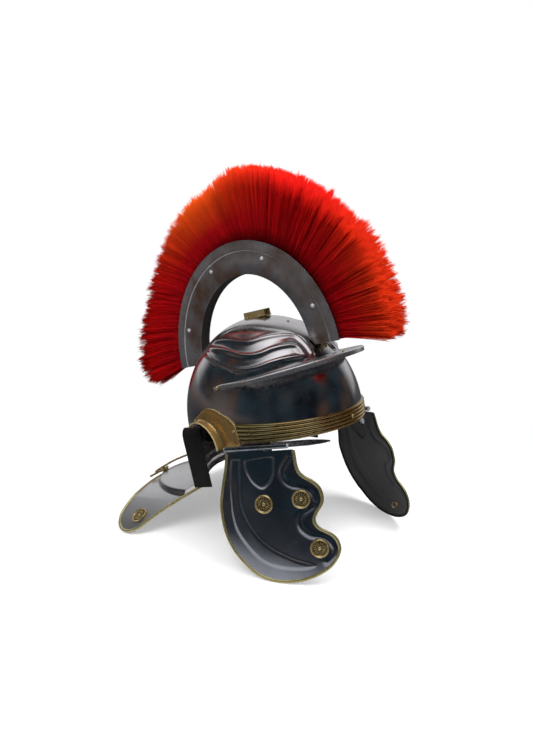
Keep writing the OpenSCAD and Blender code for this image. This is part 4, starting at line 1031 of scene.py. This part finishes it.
half_t = CREST_T / 2
step = half_t + STEP_H
SECTION = [(0.35, half_t - 0.55), (0.0, half_t - 0.25), (0.0, step - 0.9), (0.6, step - 0.55),
           (3, step - 0.25), (6, step - 0.05), (9, step), (GRIP_W - 1.4, step), (GRIP_W - 0.7, step - 0.1),
           (GRIP_W - 0.1, half_t + STEP_H / 2), (GRIP_W + 0.5, half_t + 0.08), (GRIP_W + 1.3, half_t),
           (ARCH_W / 2 + 4, half_t), (ARCH_W - 0.4, half_t), (ARCH_W, half_t - 0.3),
           (ARCH_W, half_t - PLATE_T), (GRIP_W + 1, half_t - PLATE_T), (0.35, half_t - PLATE_T)]
feet = [(foot_angle(inset, True), foot_angle(inset, False)) for inset, _ in SECTION]
rings = []
for f in np.linspace(0, 1, 181):
    turns = [mix(*ends, f) for ends in feet]
    rings.append([[x, *clear_of_bowl(arch_pt(t, inset), t, inset)] for t, (inset, x) in zip(turns, SECTION)])
# a painted highlight along the step
highlight_lines = [0.9 if abs(inset - GRIP_W) < 0.2 and x > half_t else 0.0 for inset, x in SECTION]
pair("crest_cheek_", *loft(rings), "crest", crest_steel, "crest_plate_",
     {"worn": highlight_lines * len(rings) + [0, 0]}, sharp=40)

# %% [markdown]
# ## The horsehair
# The plume is thousands of stiff, dyed hairs bound between the plates. The backing strip is a
# small grid that knows, at each of its points, where a hair that grows there would end. The
# tree scatters points on it, stands a thin tapered strand on each, leans the strands together in
# tufts, and varies their length and tint.

# %% Hair tree
TUFT_SCALE, TUFT_LEAN, LOOSE_LEAN = 260.0, 4.0, 0.55  # how fine the tufts are; leans, in tuft sizes
CLUMP_SCALE, CLUMP_SHORT, LONGEST, SAG = 420.0, 0.05, 1.03, -0.0035
hair_tree, given, hair_out = new_tree("hair", Density=("Float", 1e6), Seed=("Int", 1),
                                      Width=("Float", 0.0003), Ragged=("Float", 0.1),
                                      Tuft=("Float", 0.004), Material=("Material", None))


def hair(kind, links=(), out=0, **settings):
    return wire(hair_tree, kind, links, out, **settings)


def named(tree, name, kind="FLOAT"):
    """Reads a number or a vector that is stored on the points."""
    node = tree.nodes.new("GeometryNodeInputNamedAttribute")
    node.data_type = kind
    node.inputs["Name"].default_value = name
    return node.outputs["Attribute"]


def keep(geometry, name, value):
    """Stores a value on the geometry's points."""
    return hair("GeometryNodeStoreNamedAttribute", {"Geometry": geometry, "Name": name, "Value": value},
                domain="POINT")


def vector(operation, a, b):
    return hair("ShaderNodeVectorMath", {0: a, 3 if operation == "SCALE" else 1: b}, operation=operation)


def number(operation, a, b):
    return hair("ShaderNodeMath", {0: a, 1: b}, operation=operation)


def chance(seed, low=0.0, high=1.0):
    return hair("FunctionNodeRandomValue", {"Seed": seed, 2: low, 3: high}, out=1)


points = hair("GeometryNodeDistributePointsOnFaces", {"Mesh": given[0], "Density": given["Density"],
                                                      "Seed": given["Seed"]})
spot = hair("GeometryNodeInputPosition")
drift = hair("ShaderNodeTexNoise", {"Vector": spot, "Scale": TUFT_SCALE, "Detail": 2.0}, out=1)
drift = vector("SUBTRACT", drift, (0.5, 0.5, 0.5))
drift = vector("SCALE", drift, number("MULTIPLY", given["Tuft"], TUFT_LEAN))
loose = hair("FunctionNodeRandomValue", {"Seed": 5, 0: (-1, -1, -1), 1: (1, 1, 1)}, data_type="FLOAT_VECTOR")
loose = vector("SCALE", loose, number("MULTIPLY", given["Tuft"], LOOSE_LEAN))
aim = vector("ADD", vector("ADD", named(hair_tree, "aim", "FLOAT_VECTOR"), drift), loose)
clump = hair("ShaderNodeTexNoise", {"Vector": spot, "Scale": CLUMP_SCALE, "Detail": 1.0})
short = number("MULTIPLY", number("POWER", chance(11), 2.5), given["Ragged"])
short = number("ADD", short, number("MULTIPLY", clump, CLUMP_SHORT))
full = hair("ShaderNodeVectorMath", {0: aim}, out=1, operation="LENGTH")
length = number("MULTIPLY", full, number("SUBTRACT", LONGEST, short))
points = keep(points, "tint", chance(17))
points = keep(points, "warm", named(hair_tree, "warm"))
strand = hair("GeometryNodeMeshCone", {"Vertices": 3, "Side Segments": 4, "Radius Top": 0.6,
                                       "Radius Bottom": 1.0, "Depth": 1.0}, fill_type="NGON")
height = hair("ShaderNodeSeparateXYZ", {0: hair("GeometryNodeInputPosition")}, out=2)
strand = keep(strand, "along", height)
turn = hair("FunctionNodeAlignRotationToVector", {"Vector": aim}, axis="Z")
spin = hair("FunctionNodeEulerToRotation", {0: hair("ShaderNodeCombineXYZ", {2: chance(23, 0.0, 6.28)})})
turn = hair("FunctionNodeRotateRotation", {0: turn, 1: spin}, rotation_space="LOCAL")
stretch = hair("ShaderNodeCombineXYZ", {0: given["Width"], 1: given["Width"], 2: length})
hairs = hair("GeometryNodeInstanceOnPoints", {"Points": points, "Instance": strand, "Rotation": turn,
                                              "Scale": stretch})
hairs = hair("GeometryNodeRealizeInstances", {"Geometry": hairs})
sag = number("MULTIPLY", number("POWER", named(hair_tree, "along"), 2.0), SAG)
hairs = hair("GeometryNodeSetPosition", {"Geometry": hairs, "Offset": hair("ShaderNodeCombineXYZ", {2: sag})})
finish_tree(hair_tree, hairs, given, hair_out)

# %% [markdown]
# The plume is seven bunches on one backing strip, and each goes through the tree by itself with
# its own seed. Its outline is no even fan, so a table says how far the hair reaches at each
# turn. The dye is more orange near the top and at the front.

# %% Plume
BASE_FROM, BASE_TO, TIP_FROM, TIP_TO, BUNCHES = -4.0, 173.0, -9.0, 175.5, 7
BASE_HALF, SPREAD, HAIR_END, HAIR_TOP, INSET = 5.2, 19.0, 90.0, 82.0, 3.5
# Pairs of turn and share: how far the hair's outline reaches there
HAIR = [[-11, 0.8], [-6.6, 0.9], [1, 0.93], [7.6, 0.905], [16, 0.885], [25, 0.85], [37, 0.865], [46, 0.872],
        [60, 0.911], [69, 0.938], [78, 0.951], [86, 0.98], [92, 1.03], [100, 1.033], [110, 1.018], [131, 1],
        [148, 0.997], [155, 0.976], [169, 0.955], [177.5, 0.908]]
WARM_AT, FRONT_WARM_FROM = 72, 120  # turns on the arch where the dye is more orange
ROWS, ACROSS = 15, 5  # the backing strip's grid
STRANDS = 5200
for b in range(BUNCHES):
    start, end = mix(BASE_FROM, BASE_TO, b / BUNCHES), mix(BASE_FROM, BASE_TO, (b + 1) / BUNCHES)
    t = np.linspace(start, end, ROWS)[:, None]
    s = np.linspace(-1, 1, ACROSS)
    root = arch_pt(t, INSET)
    u = mix(TIP_FROM, TIP_TO, (t - BASE_FROM) / (BASE_TO - BASE_FROM))
    g = np.interp(u, *np.array(HAIR).T)
    a, c = g * (ARCH_A + HAIR_END) * np.cos(rad(u)), g * (ARCH_B + HAIR_TOP) * np.sin(rad(u))
    tip = np.stack([ARCH_Y + a * CC - c * SC, ARCH_Z + a * SC + c * CC], -1)
    roots = np.dstack([s * BASE_HALF + 0 * t, root[..., 0] + 0 * s, root[..., 1] + 0 * s])
    tips = np.dstack([s * SPREAD + 0 * t, tip[..., 0] + 0 * s, tip[..., 1] + 0 * s])
    mesh = bpy.data.meshes.new("backing")
    mesh.from_pydata(row(roots.reshape(-1, 3)).tolist(), [], grid_faces(ROWS, ACROSS))
    store(mesh, "aim", turned((tips - roots).reshape(-1, 3)) / 1000, "FLOAT_VECTOR")
    at = u + 0 * s
    store(mesh, "warm", np.exp(-((at - WARM_AT) / 20) ** 2) + 0.3 * ease((at - FRONT_WARM_FROM) / 40))
    area = sum(f.area for f in mesh.polygons)
    mesh = run_tree(hair_tree, mesh, Density=STRANDS / area, Seed=40 + b, Width=0.00036,
                    Ragged=0.09, Tuft=0.0042, Material=hair_red)
    finish_mesh(f"hair_{b + 1}", mesh, "crest", hair_red, f"plume_{b + 1}", sharp=180)

# %% [markdown]
# ## Leather
# The chin strap is doubled over beside the ear guard and hangs down. It is one band along a
# bent path, its edges rounded. The liner is a wide band inside the bowl that keeps the steel
# off the head.

# %% Chin straps
STRAP_W, LEATHER_T, STRAP_TURN = 24.0, 2.2, 15.0
STRAP = [[10.2, 9, -49], [12.7, 6.5, -27], [15.7, 3.5, -2], [17.2, 2, 15], [16, 1.3, 22], [13, 1, 24.4],
         [9.8, 1, 22], [8.2, 1.5, 15], [5.7, 2, 6], [-1.8, 2, 3.5], [-8.8, 2, 7], [-14.3, 2, 17],
         [-17.6, 2, 29], [-18.4, 2, 47]]


def band(path, across, half, thick, edge=5):
    """A strap with rounded edges: rings about a path, wide along one direction."""
    path = np.asarray(path, float)
    run = unit(np.gradient(path, axis=0))
    across = unit(across - (across * run).sum(1, keepdims=True) * run)
    up = np.cross(run, across)
    turn = np.linspace(-np.pi / 2, np.pi / 2, edge)
    ring = [(half - thick / 2 + thick / 2 * math.cos(a), thick / 2 * math.sin(a)) for a in turn]
    ring += [(-x, -y) for x, y in ring]
    return loft(np.stack([path + x * across + y * up for x, y in ring], 1))


path = spline(STRAP, 8) + np.array([BOWL_A, EAR_Y, EAR_Z])
twist = rad(STRAP_TURN * (1 - ease((np.arange(len(path)) / 4 - 10) / 7)))
across = np.stack([np.sin(twist), np.cos(twist), 0 * twist], -1)
pair("strap_", *band(path, across, STRAP_W / 2, LEATHER_T), "helmet", strap_leather, "chin_strap_", sharp=50)

# %% Liner
LINER_LOW, LINER_H, LINER_GAP = 42.0, 26.0, 2.6
liner = float(bowl_share(LINER_LOW + LINER_H)) - (SHEET + LINER_GAP) / BOWL_A
a = np.linspace(0, 2 * np.pi, 181)[:-1]
rings = []
for f in np.linspace(0, 1, 14):
    swell = 0.5 * math.sin(math.pi * f) ** 0.5
    rings.append(np.stack([(BOWL_A * liner - LEATHER_T / 2 + swell) * np.cos(a),
                           BOWL_BACK + (BOWL_B * liner - LEATHER_T / 2 + swell) * np.sin(a),
                           LINER_LOW + LINER_H * f + 0 * a], -1))
piece("liner", *plate(rings, LEATHER_T - 0.4, wrap=True), "helmet", liner_leather, "liner_band")

# %% [markdown]
# ## Rosettes
# Cast brass bosses cover the rivets of the cheek guards and neck guard. They all have one
# design, so one boss is made, and a tree stamps it wherever a point says, turned to face along
# the plate's normal.

# %% Stamp tree
stamp_tree, given, stamp_out = new_tree("stamps", Stamp=("Object", None), Material=("Material", None))
stamp = wire(stamp_tree, "GeometryNodeObjectInfo", {"Object": given["Stamp"]}, out=4)
turn = wire(stamp_tree, "FunctionNodeAlignRotationToVector",
            {"Vector": named(stamp_tree, "facing", "FLOAT_VECTOR")}, axis="Z")
stamps = wire(stamp_tree, "GeometryNodeInstanceOnPoints", {"Points": given[0], "Instance": stamp,
                                                           "Rotation": turn})
finish_tree(stamp_tree, stamps, given, stamp_out)


def stamped(name, stamp, spots, normals, body, material, node):
    """The stamp at each spot, as one piece."""
    mesh = bpy.data.meshes.new("spots")
    mesh.from_pydata(row(spots).tolist(), [], [])
    store(mesh, "facing", turned(normals), "FLOAT_VECTOR")
    made = run_tree(stamp_tree, mesh, Stamp=stamp, Material=material)
    return finish_mesh(name, made, body, material, node, sharp=40)


# %% [markdown]
# The boss is a disc whose top has a height for each radius and turn: a raised rim, sixteen narrow
# petals, a collar and a stud. The low places get painted shade over some tarnish.

# %% Rosettes
def lathe_disc(radii, height, turns, hollow):
    """A stamp: a closed disc whose top has a height for each radius and turn, in metres."""
    a = np.linspace(0, 2 * np.pi, turns + 1)[:-1]
    r = np.asarray(radii)[:, None]
    top = np.stack([r * np.cos(a), r * np.sin(a), height(r, a)], -1)[::-1]
    low = np.stack([radii[-1] * np.cos(a), radii[-1] * np.sin(a), 0 * a - 0.6], -1)[None]
    points, faces = loft(np.concatenate([low, top]))
    mesh = bpy.data.meshes.new("stamp")
    mesh.from_pydata((points / 1000).tolist(), [], faces)
    store(mesh, "deep", np.concatenate([0 * a, (hollow(r, a) + 0 * a)[::-1].ravel(), [0, 0]]))
    return add_object("stamp", mesh)


def rosette_height(r, a):
    """Height of the boss at a radius and turn: rim, petals, collar and stud."""
    rim = 1.9 * np.exp(-((r - 9.8) / 0.8) ** 2) + 0.7 * np.exp(-((r - 8.4) / 0.35) ** 2)
    spoke = ease((np.cos(16 * a) + 0.15) / 0.6) * ease((r - 3.2) / 0.5) * (1 - ease((r - 7) / 0.7))
    collar = 0.6 * np.exp(-((r - 2.9) / 0.3) ** 2)
    return 0.4 + 1.1 * spoke + rim + collar + 2.0 * np.sqrt(np.clip(1 - (r / 2.3) ** 2, 0, 1))


def rosette_shade(r, a):
    """How dark a point is painted: painted shade over some tarnish in the low places, none on the high ones.
    """
    return 1 - ease((rosette_height(r, a) - 0.5) / 0.7)


# the stamp keeps painted shade, over some tarnish, in its low places
rosette = lathe_disc(np.concatenate([[0.05], np.linspace(0.5, 11, 43)]), rosette_height, 160, rosette_shade)
t, w = np.array(ROSETTES, float).T
normals = unit(np.cross(cheek_pt(t, w + 2) - cheek_pt(t, w - 2), cheek_pt(t + 2, w) - cheek_pt(t - 2, w)))
spots = cheek_pt(t, w) + 0.5 * SHEET * normals
for side in SIDES:
    stamped("rosettes_cheek_" + side, rosette, on_side(spots, side), on_side(normals, side),
            "cheek_" + side, trim_brass, "cheek_rosettes_" + side)
seat = LOBE + [8, -7]
spots, normals = [], []
for s in (-1, 1):
    x, y = s * seat[0], seat[1]
    n = unit(np.array([neck_z(x - 1, y) - neck_z(x + 1, y), neck_z(x, y - 1) - neck_z(x, y + 1), 2.0]))
    spots.append(np.array([x, y, neck_z(x, y)]) + 0.5 * SHEET * n)
    normals.append(n)
stamped("rosettes_neck", rosette, np.array(spots), np.array(normals), "helmet", trim_brass, "neck_rosettes")
bpy.data.objects.remove(rosette)

# %% [markdown]
# ## Finishes for the pieces kept from the frame
# Rivets, hinges, hooks and the crown holder already have their true shapes, so they only need
# their metal.

# %% Kept nodes
FINISH = {m.name: m for m in (bowl_steel, neck_steel, brow_steel, cheek_steel, crest_steel, bright_steel,
                              hinge_steel, peg_steel, ear_brass, band_brass, edging_brass, wire_brass,
                              trim_brass, strap_leather, liner_leather, core_black, hair_red)}
for part in frame["record"]["subparts"]:
    node = frame["nodes"][part["node"]]
    node.data.materials.clear()
    node.data.materials.append(FINISH[part["material_slot"]])
print("kept", sum(not n.hide_render for n in frame["nodes"].values()))

# %% [markdown]
# ## Studio
# A pale floor and large soft lights. Polished steel also needs something dark to mirror, so only
# the camera sees the world's white. Reflections see a dim room with a few warm patches, a pale
# backdrop behind the helmet and a bright ceiling.

# %% World
world = bpy.data.worlds.new("studio")
bpy.context.scene.world = world
world.use_nodes = True
BACKDROP = (0.785, 0.62, 0.0)  # away from the camera
WARM_WALL = (-0.75, 0.65, 0.0)
DIM, TEAL = (0.004, 0.006, 0.010), (0.028, 0.048, 0.060)
WARM_PATCH, WARM_GREY = (0.10, 0.05, 0.028), (0.12, 0.10, 0.09)
PALE, CEILING, WHITE = (0.62, 0.62, 0.63), (1.2, 1.2, 1.22), (1.0, 1.0, 1.0)


class WorldTree(Tree):
    """The same helpers for the world, which has no Principled shader."""

    def __init__(self, tree):
        self.nodes, self.links = tree.nodes, tree.links


w = WorldTree(world.node_tree)
ray = w.node("ShaderNodeTexCoord")
up_part = w.node("ShaderNodeSeparateXYZ", [ray], out=2)
shapes = w.noise(2.2, 3.0, 0.6, ray, distort=0.6)
patches = w.noise(3.4, 1.0, 0.4, ray)
room = w.mix(shapes.band(0.4, 0.66), DIM, TEAL)
room = w.mix(patches.band(0.56, 0.66) * 0.8, room, WARM_PATCH)
room = w.mix(w.dot(ray, WARM_WALL).band(0.93, 0.995), room, WARM_GREY)
room = w.mix(w.dot(ray, BACKDROP).band(0.5, 0.74), room, PALE)
room = w.mix(up_part.band(0.82, 0.98), room, CEILING)
mirror = w.node("ShaderNodeBackground", [room, 1.0])
white = w.node("ShaderNodeBackground", [WHITE, 1.0])
camera_ray = w.node("ShaderNodeLightPath", out=0)
shown = w.node("ShaderNodeMixShader", [camera_ray, mirror, white])
w.plug(shown, world.node_tree.nodes["World Output"].inputs[0])
print("world", world.name, "with", len(w.nodes), "nodes")

# %% [markdown]
# Four soft lamps light the helmet at a plain level. Reflections don't see them, because their
# sharp rectangles would lie on the steel like stickers.

# %% Lamps
MIDDLE = (0, 0, 0.2)


def lamp(name, spot, size, power, size_y=None):
    """A soft rectangle of light aimed at the helmet's middle, which the steel doesn't mirror."""
    light = bpy.data.lights.new(name, "AREA")
    light.shape, light.size, light.size_y = "RECTANGLE", size, size_y or size
    light.energy = power
    obj = add_object(name, light)
    obj.location = spot
    obj.rotation_euler = (Vector(MIDDLE) - Vector(spot)).to_track_quat("-Z", "Y").to_euler()
    obj.visible_glossy = False
    print("lamp", name, power, "watts")


lamp("key", (0.3, -0.55, 1.6), 1.0, 20)
lamp("window", (-1.5, 0.6, 0.8), 0.6, 4, size_y=1.0)
lamp("front", (-0.5, -1.6, 0.9), 0.8, 8)
lamp("fill", (-0.9, -0.2, 1.3), 0.9, 14)

# %% [markdown]
# The floor looks different to each kind of ray. The camera sees it pale, with the helmet's
# shadow, and white further out. The steel mirrors a darker table.

# %% Floor
floor_mesh = bpy.data.meshes.new("floor")
floor_mesh.from_pydata([(-9, -9, 0), (9, -9, 0), (9, 9, 0), (-9, 9, 0)], [], [(0, 1, 2, 3)])
floor = add_object("floor", floor_mesh)
tree = Tree("floor")
spot = tree.node("ShaderNodeTexCoord", out=3)
reach_out = tree.node("ShaderNodeVectorMath", [spot], out=1, operation="LENGTH")
seen = tree.node("ShaderNodeLightPath", out=0)
pale = tree.mix(tree.noise(3.0), (0.80, 0.80, 0.81), (0.84, 0.84, 0.84))
# In the steel the floor is pale about the helmet, dark further out and lit again beside it
table = tree.mix(reach_out.band(0.15, 0.40), (0.52, 0.52, 0.53), (0.010, 0.012, 0.015))
beside = tree.dot(spot, (-0.3, 0.95, 0.0))
# Beside the helmet the floor glows for reflections only: painted light that the steel mirrors.
lit_beside = tree.mix(beside.band(0.7, 1.6), (0.010, 0.010, 0.012), (0.11, 0.072, 0.052))
lit_beside = tree.mix(beside.band(1.8, 3.2), lit_beside, (0.12, 0.115, 0.12))
tree.set(Base_Color=tree.mix(seen, table, pale), Roughness=0.6,
         Emission_Color=tree.mix(seen, lit_beside, (0.0, 0.0, 0.0)), Emission_Strength=1.0)
# For the camera it keeps the shadow, lifted a little, and turns pure white further out
surface = Value(tree, tree.shader.outputs[0])
lift = tree.node("ShaderNodeEmission", [WHITE, 0.30])
lit = tree.node("ShaderNodeAddShader", [surface, lift])
glow = tree.node("ShaderNodeEmission", [WHITE, 1.0])
shown = tree.node("ShaderNodeMixShader", [reach_out.band(0.28, 0.55), lit, glow])
both_ways = tree.node("ShaderNodeMixShader", [seen, surface, shown])
tree.plug(both_ways, tree.nodes["Material Output"].inputs[0])
floor_mesh.materials.append(tree.material)

# %% [markdown]
# The camera stands where the photo was taken from. Its place, aim and lens were fitted to points
# of the bowl, the crest and the guards, in the helmet's frame.

# %% Camera
EYE, LOOK, UP = (-734.096, -624.545, 145.879), (-53.253, -40.1445, 75.674), (0.20186, -0.11838, 0.97223)
LENS, SENSOR = 51.47, 36
camera_data = bpy.data.cameras.new("camera")
camera_data.lens = LENS
camera_data.sensor_width = SENSOR
camera_data.sensor_fit = "HORIZONTAL"
camera = add_object("camera", camera_data)
bpy.context.scene.camera = camera
forward = unit(turned(np.array(LOOK) - np.array(EYE)))
up = turned(UP)
right = unit(np.cross(forward, up))
up = np.cross(right, forward)
pose = np.eye(4)
pose[:3, 0], pose[:3, 1], pose[:3, 2], pose[:3, 3] = right, up, -forward, row(EYE)
camera.matrix_world = Matrix(pose.tolist())
print("camera at", row(EYE).round(3))
bpy.context.scene.view_settings.view_transform = "Standard"
